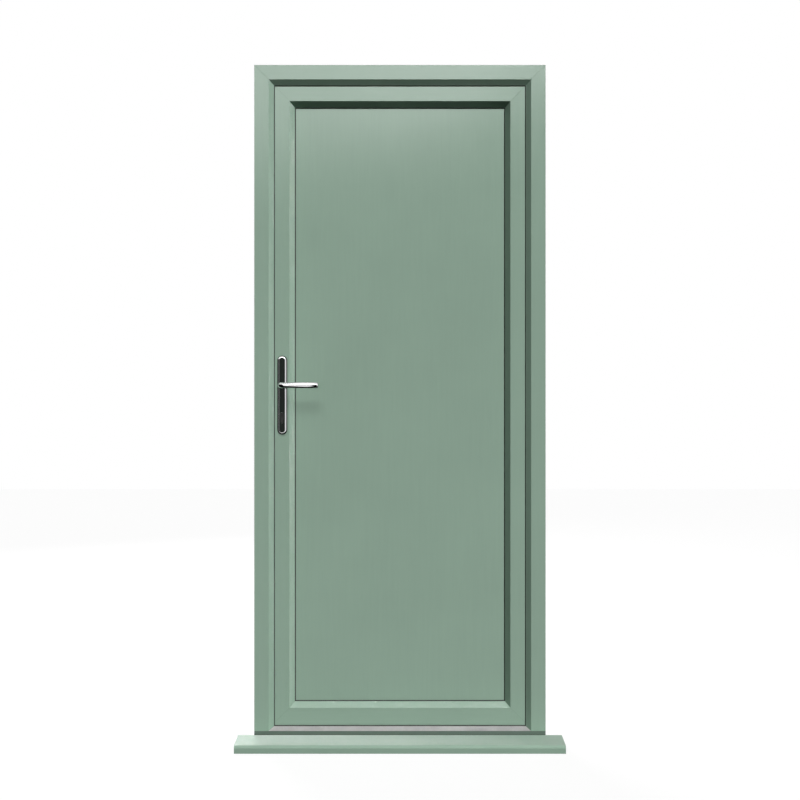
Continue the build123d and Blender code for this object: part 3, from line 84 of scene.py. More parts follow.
class Graph:
    """A node tree that is being wired, with short calls for the nodes that finishes share."""

    def __init__(self, tree: bpy.types.NodeTree) -> None:
        """Keep the tree.

        Args:
            tree: The shader or geometry node tree to wire.
        """
        self.tree = tree

    def node(self, kind: str, settings: dict | None = None, **inputs: object) -> bpy.types.Node:
        """Add a node.

        Args:
            kind: The node's type name.
            settings: Properties of the node itself.
            inputs: Values or sockets for its inputs, with _ for a space in a name.

        Returns:
            The new node.
        """
        made = self.tree.nodes.new(kind)
        for name, value in (settings or {}).items():
            setattr(made, name, value)
        for name, value in inputs.items():
            self.feed(made.inputs[name.replace("_", " ")], value)
        return made

    def feed(self, socket: bpy.types.NodeSocket, value: object) -> None:
        """Link a socket to another one, or set its own value."""
        if isinstance(value, bpy.types.NodeSocket):
            self.tree.links.new(value, socket)
        else:
            socket.default_value = value

    def math(self, operation: str, *terms: object, clamp: bool = False) -> bpy.types.NodeSocket:
        """Add a Math node.

        Args:
            operation: The operation's name.
            terms: One to three values or sockets.
            clamp: Whether the result is kept from 0 to 1.

        Returns:
            The result's socket.
        """
        made = self.node("ShaderNodeMath", {"operation": operation, "use_clamp": clamp})
        for socket, term in zip(made.inputs, terms):
            self.feed(socket, term)
        return made.outputs[0]

    def vector(self, operation: str, *terms: object) -> bpy.types.NodeSocket:
        """Add a Vector Math node.

        Args:
            operation: The operation's name.
            terms: One or two vectors or sockets.

        Returns:
            The resulting vector's socket, or the value's for a length or dot product.
        """
        made = self.node("ShaderNodeVectorMath", {"operation": operation})
        for socket, term in zip(made.inputs, terms):
            self.feed(socket, term)
        return made.outputs["Value" if operation in ("LENGTH", "DOT_PRODUCT") else "Vector"]

    def scale(self, vector: bpy.types.NodeSocket, factor: bpy.types.NodeSocket) -> bpy.types.NodeSocket:
        """Scale a vector by a value.

        Args:
            vector: The vector's socket.
            factor: The value's socket.

        Returns:
            The scaled vector's socket.
        """
        made = self.node("ShaderNodeVectorMath", {"operation": "SCALE"}, Scale=factor)
        self.feed(made.inputs[0], vector)
        return made.outputs[0]

    def remap(self, value: object, ramp: Ramp) -> bpy.types.NodeSocket:
        """Add a clamped Map Range node.

        Args:
            value: The value's socket.
            ramp: How the value changes.

        Returns:
            The result's socket.
        """
        kind = "SMOOTHSTEP" if ramp.smooth else "LINEAR"
        return self.node("ShaderNodeMapRange", {"interpolation_type": kind}, Value=value, From_Min=ramp.low,
                         From_Max=ramp.high, To_Min=ramp.out_low, To_Max=ramp.out_high).outputs["Result"]

    def noise(self, vector: object, pattern: Noise) -> bpy.types.NodeSocket:
        """Add a Noise Texture and give its value.

        Args:
            vector: The coordinates' socket.
            pattern: The noise's settings.

        Returns:
            The noise value's socket.
        """
        made = self.node("ShaderNodeTexNoise", Vector=vector, Scale=pattern.scale, Detail=pattern.detail,
                         Roughness=pattern.roughness, Distortion=pattern.distortion)
        return made.outputs["Fac"]

    def blend(self, factor: object, first: object, second: object) -> bpy.types.NodeSocket:
        """Mix two colours.

        Args:
            factor: Share of the second colour.
            first: A colour or its socket.
            second: A colour or its socket.

        Returns:
            The mixed colour's socket.
        """
        made = self.node("ShaderNodeMix", {"data_type": "RGBA"})
        self.feed(made.inputs["Factor"], factor)
        for index, colour in ((6, first), (7, second)):
            value = rgba(colour) if isinstance(colour, tuple) and len(colour) == 3 else colour
            self.feed(made.inputs[index], value)
        return made.outputs[2]

    def group(self, tree: bpy.types.NodeTree, **inputs: object) -> bpy.types.Node:
        """Place a shader group.

        Args:
            tree: The group.
            inputs: Values or sockets for its inputs, with _ for a space in a name.

        Returns:
            The group's node.
        """
        made = self.tree.nodes.new("ShaderNodeGroup")
        made.node_tree = tree
        for name, value in inputs.items():
            self.feed(made.inputs[name.replace("_", " ")], value)
        return made

    def coordinates(self) -> bpy.types.NodeSocket:
        """Give the object's own coordinates."""
        return self.node("ShaderNodeTexCoord").outputs["Object"]


def open_tree(tree: bpy.types.NodeTree) -> tuple[Graph, dict, bpy.types.Node]:
    """Start the wiring of a group whose sockets are made.

    Args:
        tree: The group.

    Returns:
        The graph, the input sockets by name, and the output node.
    """
    graph = Graph(tree)
    entry = graph.node("NodeGroupInput")
    leave = graph.node("NodeGroupOutput")
    return graph, {socket.name: socket for socket in entry.outputs}, leave


def new_group(name: str, inputs: dict[str, object],
              outputs: tuple[str, ...]) -> tuple[Graph, dict, bpy.types.Node]:
    """Start a shader group.

    Args:
        name: The group's name.
        inputs: Each input's name with its default, a number or a vector.
        outputs: Names of the outputs; one that is called Normal is a vector.

    Returns:
        The graph, the input sockets by name, and the output node.
    """
    tree = bpy.data.node_groups.new(name, "ShaderNodeTree")
    for title, default in inputs.items():
        kind = "NodeSocketVector" if isinstance(default, tuple) else "NodeSocketFloat"
        socket = tree.interface.new_socket(name=title, in_out="INPUT", socket_type=kind)
        socket.default_value = default
    for title in outputs:
        kind = "NodeSocketVector" if title == "Normal" else "NodeSocketFloat"
        tree.interface.new_socket(name=title, in_out="OUTPUT", socket_type=kind)
    return open_tree(tree)


# Shapes that Geometry Nodes make


WELD_DISTANCE = 1e-6
SHARP_ANGLE = math.radians(32.0)


def new_geometry_tree(name: str, inputs: dict[str, str]) -> tuple[Graph, dict, bpy.types.Node]:
    """Start a Geometry Nodes tree.

    Args:
        name: The tree's name.
        inputs: Each input's name with its socket type, besides the geometry.

    Returns:
        The graph, the input sockets by name, and the output node.
    """
    tree = bpy.data.node_groups.new(name, "GeometryNodeTree")
    tree.interface.new_socket(name="Geometry", in_out="INPUT", socket_type="NodeSocketGeometry")
    for title, kind in inputs.items():
        tree.interface.new_socket(name=title, in_out="INPUT", socket_type=kind)
    tree.interface.new_socket(name="Geometry", in_out="OUTPUT", socket_type="NodeSocketGeometry")
    return open_tree(tree)


def grow(name: str, start: bpy.types.Mesh, tree: bpy.types.NodeTree,
         values: dict[str, object]) -> bpy.types.Mesh:
    """Run a Geometry Nodes tree on a mesh.

    Args:
        name: Name of the new mesh.
        start: The mesh that the tree starts from.
        tree: The tree.
        values: Its inputs by name.

    Returns:
        The result as a plain mesh.
    """
    holder = bpy.data.objects.new(name, start)
    bpy.context.scene.collection.objects.link(holder)
    modifier = holder.modifiers.new("shape", "NODES")
    modifier.node_group = tree
    for socket in tree.interface.items_tree:
        if socket.in_out == "INPUT" and socket.name in values:
            modifier[socket.identifier] = values[socket.name]
    graph = bpy.context.evaluated_depsgraph_get()
    mesh = bpy.data.meshes.new_from_object(holder.evaluated_get(graph), depsgraph=graph)
    holder.modifiers.remove(modifier)
    bpy.data.objects.remove(holder)
    mesh.name = name
    return mesh


def join_shapes(name: str, shapes: list[bpy.types.Mesh], material: bpy.types.Material) -> bpy.types.Mesh:
    """Join meshes into one that is welded, faces outwards and is smooth but for its sharp edges.

    Args:
        name: Name of the joined mesh.
        shapes: The meshes.
        material: Their finish.

    Returns:
        The joined mesh.
    """
    joined = bmesh.new()
    for shape in shapes:
        joined.from_mesh(shape)
    bmesh.ops.remove_doubles(joined, verts=joined.verts, dist=WELD_DISTANCE)
    bmesh.ops.recalc_face_normals(joined, faces=joined.faces)
    for face in joined.faces:
        face.smooth = True
        face.material_index = 0
    mesh = bpy.data.meshes.new(name)
    joined.to_mesh(mesh)
    joined.free()
    mesh.materials.append(material)
    mesh.set_sharp_from_angle(angle=SHARP_ANGLE)
    return mesh


def add_piece(mesh: bpy.types.Mesh, body: str, node: str) -> bpy.types.Object:
    """Add a piece that stands for a CAD node.

    Args:
        mesh: Its mesh, whose name it takes.
        body: The body that it rides on.
        node: The node that it stands for.

    Returns:
        The piece.
    """
    piece = bpy.data.objects.new(mesh.name, mesh)
    bpy.context.scene.collection.objects.link(piece)
    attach(piece, body)
    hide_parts(node)
    LOG.info("%s: %d faces", piece.name, len(mesh.polygons))
    return piece


@dataclass(frozen=True)
class ScrewKind:
    """Sizes of a countersunk cross-head screw, in metres."""

    shank: float
    head: float
    head_height: float
    pitch: float
    tip: float


WOOD_SCREW = ScrewKind(shank=0.002, head=0.004, head_height=0.0022, pitch=0.0014, tip=0.003)
MACHINE_SCREW = ScrewKind(shank=0.00248, head=0.0046, head_height=0.0023, pitch=0.0008, tip=0.0005)


@dataclass(frozen=True)
class ScrewRow:
    """Screws of one kind and length that face the same way."""

    kind: ScrewKind
    length: float
    facing: Point
    places: tuple[Point, ...]


class ScrewMaker:
    """Sets a threaded, countersunk cross-head screw at every point of a mesh."""

    turn_seed = 11
    head_sides = 28
    core_sides = 20
    ridge_sides = 3
    tip_share = 0.08
    core_share = 0.82
    ridge_steps = 12
    cross_width_share = 0.22
    cross_reach_share = 1.10
    cross_depth_share = 0.62

    def __init__(self) -> None:
        """Wire the tree."""
        kinds = {"Facing": "NodeSocketVector", "Finish": "NodeSocketMaterial"}
        sizes = ("Shank Radius", "Head Radius", "Head Height", "Length", "Pitch", "Tip")
        kinds.update({size: "NodeSocketFloat" for size in sizes})
        graph, given, leave = new_geometry_tree("countersunk_screws", kinds)
        self.tree = graph.tree
        parts = [self.cut_head(graph, given), *self.turn_shank(graph, given)]
        screw = graph.node("GeometryNodeJoinGeometry")
        for part in parts:
            graph.feed(screw.inputs[0], part)
        face = graph.node("FunctionNodeAlignRotationToVector", {"axis": "Z"}, Vector=given["Facing"])
        chance = graph.node("FunctionNodeRandomValue", {"data_type": "FLOAT"}, Seed=self.turn_seed)
        graph.feed(chance.inputs[3], math.tau)
        about = graph.node("ShaderNodeCombineXYZ", Z=chance.outputs[1])
        turned = graph.node("FunctionNodeRotateRotation", {"rotation_space": "LOCAL"},
                            Rotation=face.outputs[0], Rotate_By=about.outputs[0])
        rows = graph.node("GeometryNodeInstanceOnPoints", Points=given["Geometry"],
                          Instance=screw.outputs[0], Rotation=turned.outputs[0])
        real = graph.node("GeometryNodeRealizeInstances", Geometry=rows.outputs[0])
        dressed = graph.node("GeometryNodeSetMaterial", Geometry=real.outputs[0], Material=given["Finish"])
        graph.feed(leave.inputs[0], dressed.outputs[0])

    @staticmethod
    def shift(graph: Graph, mesh: bpy.types.NodeSocket, height: object) -> bpy.types.NodeSocket:
        """Move a part of the screw along its axis.

        Args:
            graph: The tree's graph.
            mesh: The part's geometry.
            height: How far it moves up.

        Returns:
            The moved geometry.
        """
        step = graph.node("ShaderNodeCombineXYZ", Z=height)
        return graph.node("GeometryNodeTransform", Geometry=mesh, Translation=step.outputs[0]).outputs[0]

    def cut_head(self, graph: Graph, given: dict) -> bpy.types.NodeSocket:
        """Make the countersunk head with its cross recess.

        Args:
            graph: The tree's graph.
            given: The tree's inputs.

        Returns:
            The head's geometry, whose face lies at the screw's origin.
        """
        cone = graph.node("GeometryNodeMeshCone", Vertices=self.head_sides, Radius_Top=given["Head Radius"],
                          Radius_Bottom=given["Shank Radius"], Depth=given["Head Height"])
        head = self.shift(graph, cone.outputs["Mesh"], graph.math("MULTIPLY", given["Head Height"], -1.0))
        width = graph.math("MULTIPLY", given["Head Radius"], self.cross_width_share)
        reach = graph.math("MULTIPLY", given["Head Radius"], self.cross_reach_share)
        depth = graph.math("MULTIPLY", given["Head Height"], 2.0 * self.cross_depth_share)
        way = {"operation": "DIFFERENCE", "solver": "EXACT"}
        cut = graph.node("GeometryNodeMeshBoolean", way, Mesh_1=head)
        for across, along in ((width, reach), (reach, width)):
            size = graph.node("ShaderNodeCombineXYZ", X=across, Y=along, Z=depth)
            bar = graph.node("GeometryNodeMeshCube", Size=size.outputs[0])
            graph.feed(cut.inputs[1], bar.outputs["Mesh"])
        return cut.outputs["Mesh"]

    def turn_shank(self, graph: Graph, given: dict) -> list[bpy.types.NodeSocket]:
        """Make the shank's core, its point and its thread.

        Args:
            graph: The tree's graph.
            given: The tree's inputs.

        Returns:
            The geometry of the three parts.
        """
        core = graph.math("MULTIPLY", given["Shank Radius"], self.core_share)
        ridge = graph.math("SUBTRACT", given["Shank Radius"], core)
        below = graph.math("SUBTRACT", given["Length"], given["Head Height"])
        straight = graph.math("SUBTRACT", below, given["Tip"])
        foot = graph.math("MULTIPLY", given["Length"], -1.0)
        rod = graph.node("GeometryNodeMeshCylinder", Vertices=self.core_sides, Radius=core, Depth=straight)
        middle = graph.math("ADD", graph.math("MULTIPLY_ADD", straight, 0.5, given["Tip"]), foot)
        sharp = graph.math("MULTIPLY", core, self.tip_share)
        point = graph.node("GeometryNodeMeshCone", Vertices=self.core_sides, Radius_Top=core,
                           Radius_Bottom=sharp, Depth=given["Tip"])
        turns = graph.math("DIVIDE", straight, given["Pitch"])
        spiral = graph.node("GeometryNodeCurveSpiral", Resolution=self.ridge_steps, Start_Radius=core,
                            End_Radius=core, Height=straight, Rotations=turns)
        rib = graph.node("GeometryNodeCurvePrimitiveCircle", {"mode": "RADIUS"}, Resolution=self.ridge_sides)
        graph.feed(rib.inputs["Radius"], ridge)
        thread = graph.node("GeometryNodeCurveToMesh", Curve=spiral.outputs[0], Profile_Curve=rib.outputs[0],
                            Fill_Caps=True)
        start = graph.math("ADD", foot, given["Tip"])
        parts = ((rod.outputs["Mesh"], middle), (point.outputs["Mesh"], foot), (thread.outputs[0], start))
        return [self.shift(graph, mesh, height) for mesh, height in parts]

    def make(self, name: str, rows: list[ScrewRow], finish: bpy.types.Material) -> bpy.types.Mesh:
        """Make every screw of a piece.

        Args:
            name: The mesh's name.
            rows: The screws, row by row.
            finish: Their material.

        Returns:
            One mesh with all of them.
        """
        shapes = []
        for row in rows:
            points = bpy.data.meshes.new(f"{name}_places")
            points.from_pydata(row.places, [], [])
            values = {"Facing": row.facing, "Finish": finish, "Shank Radius": row.kind.shank,
                      "Head Radius": row.kind.head, "Head Height": row.kind.head_height,
                      "Length": row.length, "Pitch": row.kind.pitch, "Tip": row.kind.tip}
            shapes.append(grow(f"{name}_row", points, self.tree, values))
        return join_shapes(name, shapes, finish)


def round_corners(corners: list[tuple[float, float]], reach: float,
                  steps: int = 3) -> list[tuple[float, float]]:
    """Round the corners of a closed outline.

    Args:
        corners: The outline's corners.
        reach: How far from a corner its rounding starts, at most.
        steps: Number of spans in a rounding.

    Returns:
        The rounded outline's points.
    """
    rounded, most = [], 0.45
    for index, corner in enumerate(corners):
        here = Vector(corner)
        before = Vector(corners[index - 1]) - here
        after = Vector(corners[(index + 1) % len(corners)]) - here
        span = min(reach, most * before.length, most * after.length)
        start, end = here + before.normalized() * span, here + after.normalized() * span
        for step in range(steps + 1):
            share = step / steps
            point = start * (1 - share) ** 2 + here * 2 * share * (1 - share) + end * share ** 2
            rounded.append((point.x, point.y))
    return rounded


@dataclass(frozen=True)
class Station:
    """A place on a seal's run, with the way its section's width points there."""

    place: Point
    across: Point
    opened: float = 1.0


@dataclass(frozen=True)
class Seal:
    """Sizes of a seal with a barbed root, a bulb and a bevelled lip, in metres.

    Widths are measured in from the outer edge of the frame, depths along Y.
    """

    width: tuple[float, float]
    root: tuple[float, float]
    seat: float
    pad: float
    root_depth: float = 0.0023
    bevel: float = 0.0012
    barb: float = 0.0005
    nick: float = 0.0008
    bulb_share: float = 0.62
    rounding: float = 0.0004
    barb_level: float = 0.3
    notch_level: float = 0.42
    bevel_level: float = 0.72
    crease_level: float = 0.70
    edge_level: float = 0.4

    def outline(self) -> list[tuple[float, float]]:
        """Work out the section as points of width and depth.

        Returns:
            The closed outline's points, the first one repeated at the end.
        """
        (edge, lip), (near, far) = self.width, self.root
        down, up = -math.copysign(self.root_depth, self.pad), self.pad
        barb, nick = self.barb, self.nick
        crease = edge + self.bulb_share * (lip - edge)
        step, notch = self.barb_level * down, self.notch_level * down
        corners = [
            (near, 0.0), (near + barb, step), (near, notch), (near + barb, down),
            (far - barb, down), (far, notch), (far - barb, step), (far, 0.0),
            (lip - self.bevel, 0.0), (lip, self.bevel_level * up), (lip, up), (crease + nick, up),
            (crease, self.crease_level * up), (crease - nick, up), (edge + barb, up),
            (edge, self.edge_level * up), (edge, 0.0),
        ]
        points = [(across, self.seat + depth) for across, depth in round_corners(corners, self.rounding)]
        return points + points[:1]

    def heart(self) -> Point:
        """Give the middle of the section, where an open end closes."""
        return (sum(self.root) / 2, self.seat + self.pad / 2, 0.0)


class SealMaker:
    """Runs a section along stations round a mitred member."""

    weld = 0.00001

    def __init__(self) -> None:
        """Wire the tree."""
        graph, given, leave = new_geometry_tree("mitred_run", {
            "Section": "NodeSocketObject", "Heart": "NodeSocketVector", "Weld": "NodeSocketFloat",
            "Finish": "NodeSocketMaterial"})
        self.tree = graph.tree
        section = graph.node("GeometryNodeObjectInfo", Object=given["Section"]).outputs["Geometry"]
        counts = [graph.node("GeometryNodeAttributeDomainSize", Geometry=mesh).outputs["Point Count"]
                  for mesh in (given["Geometry"], section)]
        sheet = graph.node("GeometryNodeMeshGrid", Vertices_X=counts[0], Vertices_Y=counts[1])
        index = graph.node("GeometryNodeInputIndex").outputs[0]
        middle = graph.math("ADD", index, 0.5)
        station = graph.math("FLOOR", graph.math("DIVIDE", middle, counts[1]))
        place = graph.math("FLOOR", graph.math("MODULO", middle, counts[1]))
        spot = graph.node("GeometryNodeInputPosition").outputs[0]
        run = given["Geometry"]
        stood = self.read(graph, run, spot, station)
        across = self.read(graph, run, self.attribute(graph, "across", "FLOAT_VECTOR"), station)
        opened = self.read(graph, run, self.attribute(graph, "opened", "FLOAT"), station, "FLOAT")
        profile = self.read(graph, section, spot, place)
        swung = graph.vector("SUBTRACT", profile, given["Heart"])
        spread = graph.scale(swung, opened)
        point = graph.node("ShaderNodeSeparateXYZ", Vector=graph.vector("ADD", given["Heart"], spread))
        wide = graph.scale(across, point.outputs["X"])
        deep = graph.node("ShaderNodeCombineXYZ", Y=point.outputs["Y"])
        where = graph.vector("ADD", graph.vector("ADD", stood, wide), deep.outputs[0])
        bent = graph.node("GeometryNodeSetPosition", Geometry=sheet.outputs["Mesh"], Position=where)
        closed = graph.node("GeometryNodeMergeByDistance", Geometry=bent.outputs[0], Distance=given["Weld"])
        real = graph.node("GeometryNodeRealizeInstances", Geometry=closed.outputs[0])
        dressed = graph.node("GeometryNodeSetMaterial", Geometry=real.outputs[0], Material=given["Finish"])
        graph.feed(leave.inputs[0], dressed.outputs[0])

    @staticmethod
    def attribute(graph: Graph, name: str, kind: str) -> bpy.types.NodeSocket:
        """Read a named attribute of the stations."""
        return graph.node("GeometryNodeInputNamedAttribute", {"data_type": kind}, Name=name).outputs[0]

    @staticmethod
    def read(graph: Graph, mesh: bpy.types.NodeSocket, value: bpy.types.NodeSocket,
             index: bpy.types.NodeSocket, kind: str = "FLOAT_VECTOR") -> bpy.types.NodeSocket:
        """Read a value at one point of a mesh.

        Args:
            graph: The tree's graph.
            mesh: The mesh.
            value: The value.
            index: The point's index.
            kind: The value's data type.

        Returns:
            The value there.
        """
        return graph.node("GeometryNodeSampleIndex", {"data_type": kind}, Geometry=mesh, Value=value,
                          Index=index).outputs[0]

    def make(self, name: str, seal: Seal, stations: list[Station],
             finish: bpy.types.Material) -> bpy.types.Mesh:
        """Make a seal.

        Args:
            name: The mesh's name.
            seal: Its section.
            stations: Its run.
            finish: Its material.

        Returns:
            The seal's mesh.
        """
        run = bpy.data.meshes.new(f"{name}_run")
        run.from_pydata([station.place for station in stations], [], [])
        run.attributes.new("across", "FLOAT_VECTOR", "POINT")
        run.attributes.new("opened", "FLOAT", "POINT")
        for index, station in enumerate(stations):
            run.attributes["across"].data[index].vector = station.across
            run.attributes["opened"].data[index].value = station.opened
        outline = bpy.data.meshes.new(f"{name}_section")
        outline.from_pydata([(across, depth, 0.0) for across, depth in seal.outline()], [], [])
        section = bpy.data.objects.new(f"{name}_section", outline)
        values = {"Section": section, "Heart": seal.heart(), "Weld": self.weld, "Finish": finish}
        shape = grow(f"{name}_shape", run, self.tree, values)
        bpy.data.objects.remove(section)
        return join_shapes(name, [shape], finish)


@dataclass(frozen=True)
class Opening:
    """Outline that the widths of frame and leaf sections are measured in from, in metres."""

    half_width: float = 0.45
    top: float = 2.1
    foot: float = 0.0023

    def ring(self) -> list[Station]:
        """Give the stations of a run round all four sides."""
        turns = ((-1, self.foot, 1), (-1, self.top, -1), (1, self.top, -1), (1, self.foot, 1))
        corners = [Station((side * self.half_width, 0.0, level), (-side, 0.0, way))
                   for side, level, way in turns]
        return corners + corners[:1]

    def portal(self, low: float) -> list[Station]:
        """Give the stations of a run up one side, along the head and down the other side.

        Args:
            low: Height of its two ends.

        Returns:
            The stations, with its ends closed.
        """
        left, stations = -self.half_width, []
        rise = (Station((left, 0.0, low), (1, 0, 0), 0.0), Station((left, 0.0, low), (1, 0, 0)),
                Station((left, 0.0, self.top), (1, 0, -1)))
        for station in reversed(rise):
            (x, _, z), (across, _, down) = station.place, station.across
            stations.append(Station((-x, 0.0, z), (-across, 0, down), station.opened))
        return [*rise, *stations]


OPENING = Opening()
NO_WELD = -9.0
FAR_TOP = 19.0
HINGE_NAMES = ("top", "middle", "bottom")


# Effects that finishes share


@dataclass
class Effects:
    """The shader groups that more than one finish uses."""

    emboss: bpy.types.NodeTree = field(init=False)
    weld: bpy.types.NodeTree = field(init=False)
    edge: bpy.types.NodeTree = field(init=False)
    drawn: bpy.types.NodeTree = field(init=False)
    dust: bpy.types.NodeTree = field(init=False)

    pores = Noise(900.0, 3.0, 0.6, 0.2)
    pore_cut = Ramp(0.50, 0.62, smooth=True)
    bands = Noise(160.0, 2.0, 0.5, 0.6)
    swell = Noise(85.0, 2.0, 0.5, 0.3)
    clouds = Noise(3.5, 3.0, 0.55)
    band_height, pore_depth = 0.5, 0.25
    cloud_tone, band_tone = 0.7, 0.3
    groove_side = Ramp(0.35, 1.0, 1.0, 0.0, smooth=True)
    bevel_samples = 6
    edge_cut = Ramp(0.999, 0.93)
    patches = Noise(24.0, 4.0, 0.6, 0.4)
    line_detail, line_roughness = 3.0, 0.6
    dust_slope = Ramp(0.6, 1.0)
    dust_patches = Noise(38.0, 5.0, 0.65)
    dust_cut = Ramp(0.35, 0.7, 0.2, 1.0)

    def __post_init__(self) -> None:
        """Build every group once."""
        self.emboss = self.build_emboss()
        self.weld = self.build_weld()
        self.edge = self.build_edge()
        self.drawn = self.build_drawn()
        self.dust = self.build_dust()

    def build_emboss(self) -> bpy.types.NodeTree:
        """Build the wood grain that is rolled into the foil.

        Returns:
            A group that gives the relief's height and a slow change of tone.
        """
        inputs = {"Vector": (0.0, 0.0, 0.0), "Stretch": (1.0, 1.0, 1.0), "Waviness": 0.5}
        graph, given, leave = new_group("foil_emboss", inputs, ("Height", "Tone"))
        place = graph.vector("MULTIPLY", given["Vector"], given["Stretch"])
        ticks = graph.noise(place, self.pores)
        pores = graph.remap(ticks, self.pore_cut)
        bands = graph.noise(place, self.bands)
        swell = graph.noise(given["Vector"], self.swell)
        relief = graph.math("SUBTRACT", graph.math("MULTIPLY", bands, self.band_height),
                            graph.math("MULTIPLY", pores, self.pore_depth))
        waves = graph.math("MULTIPLY", swell, given["Waviness"])
        graph.feed(leave.inputs["Height"], graph.math("ADD", relief, waves))
        slow = graph.noise(given["Vector"], self.clouds)
        tone = graph.math("ADD", graph.math("MULTIPLY", slow, self.cloud_tone),
                          graph.math("MULTIPLY", bands, self.band_tone))
        graph.feed(leave.inputs["Tone"], tone)
        return graph.tree

    def build_weld(self) -> bpy.types.NodeTree:
        """Build the cleaned weld groove that runs over each mitred corner.

        Returns:
            A group that gives a mask of the groove.
        """
        inputs = {"Vector": (0.0, 0.0, 0.0), "Half Width": OPENING.half_width, "Top": OPENING.top,
                  "Foot": NO_WELD, "Groove": 0.0012}
        graph, given, leave = new_group("mitre_weld", inputs, ("Line",))
        split = graph.node("ShaderNodeSeparateXYZ", Vector=given["Vector"])
        side = graph.math("SUBTRACT", given["Half Width"], graph.math("ABSOLUTE", split.outputs["X"]))
        down = graph.math("SUBTRACT", given["Top"], split.outputs["Z"])
        up = graph.math("SUBTRACT", split.outputs["Z"], given["Foot"])
        top = graph.math("ABSOLUTE", graph.math("SUBTRACT", side, down))
        foot = graph.math("ABSOLUTE", graph.math("SUBTRACT", side, up))
        share = graph.math("DIVIDE", graph.math("MINIMUM", top, foot), given["Groove"])
        graph.feed(leave.inputs["Line"], graph.remap(share, self.groove_side))
        return graph.tree

    def build_edge(self) -> bpy.types.NodeTree:
        """Build the small round that softens a cut edge.

        Returns:
            A group that gives the softened normal and a mask of the edges.
        """
        graph, given, leave = new_group("soft_edge", {"Radius": 0.0005}, ("Normal", "Edge"))
        bevel = graph.node("ShaderNodeBevel", {"samples": self.bevel_samples}, Radius=given["Radius"])
        plain = graph.node("ShaderNodeNewGeometry")
        match = graph.vector("DOT_PRODUCT", bevel.outputs["Normal"], plain.outputs["Normal"])
        graph.feed(leave.inputs["Normal"], bevel.outputs["Normal"])
        graph.feed(leave.inputs["Edge"], graph.remap(match, self.edge_cut))
        return graph.tree

    def build_drawn(self) -> bpy.types.NodeTree:
        """Build the fine lines that rolling, drawing or brushing leaves on metal.

        Returns:
            A group that gives the lines' height and a patchy tone.
        """
        inputs = {"Vector": (0.0, 0.0, 0.0), "Stretch": (1.0, 1.0, 1.0), "Fineness": 1500.0}
        graph, given, leave = new_group("drawn_lines", inputs, ("Height", "Tone"))
        place = graph.vector("MULTIPLY", given["Vector"], given["Stretch"])
        lines = Noise(given["Fineness"], self.line_detail, self.line_roughness)
        graph.feed(leave.inputs["Height"], graph.noise(place, lines))
        graph.feed(leave.inputs["Tone"], graph.noise(given["Vector"], self.patches))
        return graph.tree

    def build_dust(self) -> bpy.types.NodeTree:
        """Build the thin dust that settles on faces that look up.

        Returns:
            A group that gives the dust's mask.
        """
        inputs = {"Vector": (0.0, 0.0, 0.0), "Amount": 0.2}
        graph, given, leave = new_group("settled_dust", inputs, ("Dust",))
        plain = graph.node("ShaderNodeNewGeometry")
        split = graph.node("ShaderNodeSeparateXYZ", Vector=plain.outputs["Normal"])
        up = graph.remap(split.outputs["Z"], self.dust_slope)
        patches = graph.remap(graph.noise(given["Vector"], self.dust_patches), self.dust_cut)
        amount = graph.math("MULTIPLY", graph.math("MULTIPLY", up, patches), given["Amount"])
        graph.feed(leave.inputs["Dust"], amount)
        return graph.tree


# Finishes


EDGE_RADIUS = 0.0004
METAL_DUST = (0.45, 0.45, 0.43)
FLOW_MARKS = Noise(320.0, 3.0, 0.55, 0.3)
HAIRLINES = Noise(700.0, 4.0, 0.7, 0.8)
HAIRLINE_STRETCH = (1.0, 1.0, 0.08)
MID_RANGE = (0.3, 0.7)
METAL_RANGE = (0.35, 0.65)


class Grain(Enum):
    """Direction in which a foil's wood grain runs, as the stretch of its pattern."""

    UPRIGHT = (1.0, 1.0, 0.045)
    LEVEL = (0.045, 1.0, 1.0)


class Draw(Enum):
    """Direction in which a metal's lines run, as the stretch of their pattern."""

    ACROSS = (0.004, 1.0, 1.0)
    UPRIGHT = (1.0, 1.0, 0.004)


def start_material(name: str, colour: Colour, metallic: float, roughness: float) -> tuple[
        bpy.types.Material, Graph, bpy.types.Node]:
    """Start a node material.

    Args:
        name: The finish's name.
        colour: Its mean colour, which the viewport shows.
        metallic: 1 for bare metal, 0 for the rest.
        roughness: Its mean roughness.

    Returns:
        The material, its graph and its Principled BSDF node.
    """
    material = bpy.data.materials.new(name)
    material.use_nodes = True
    material.node_tree.nodes.clear()
    material.diffuse_color = rgba(colour)
    graph = Graph(material.node_tree)
    shader = graph.node("ShaderNodeBsdfPrincipled", Metallic=metallic, Roughness=roughness)
    shader.inputs["Base Color"].default_value = rgba(colour)
    out = graph.node("ShaderNodeOutputMaterial")
    graph.feed(out.inputs["Surface"], shader.outputs["BSDF"])
    return material, graph, shader


def emboss_shader(graph: Graph, shader: bpy.types.Node, height: bpy.types.NodeSocket, relief: float,
                  normal: bpy.types.NodeSocket | None = None) -> None:
    """Give a shader its relief.

    Args:
        graph: The material's graph.
        shader: Its Principled BSDF node.
        height: The relief's height, from 0 to 1.
        relief: How far height 1 stands out, in metres.
        normal: The normal that the relief is laid on.
    """
    bump = graph.node("ShaderNodeBump", Strength=1.0, Distance=relief, Height=height)
    if normal is not None:
        graph.feed(bump.inputs["Normal"], normal)
    graph.feed(shader.inputs["Normal"], bump.outputs["Normal"])


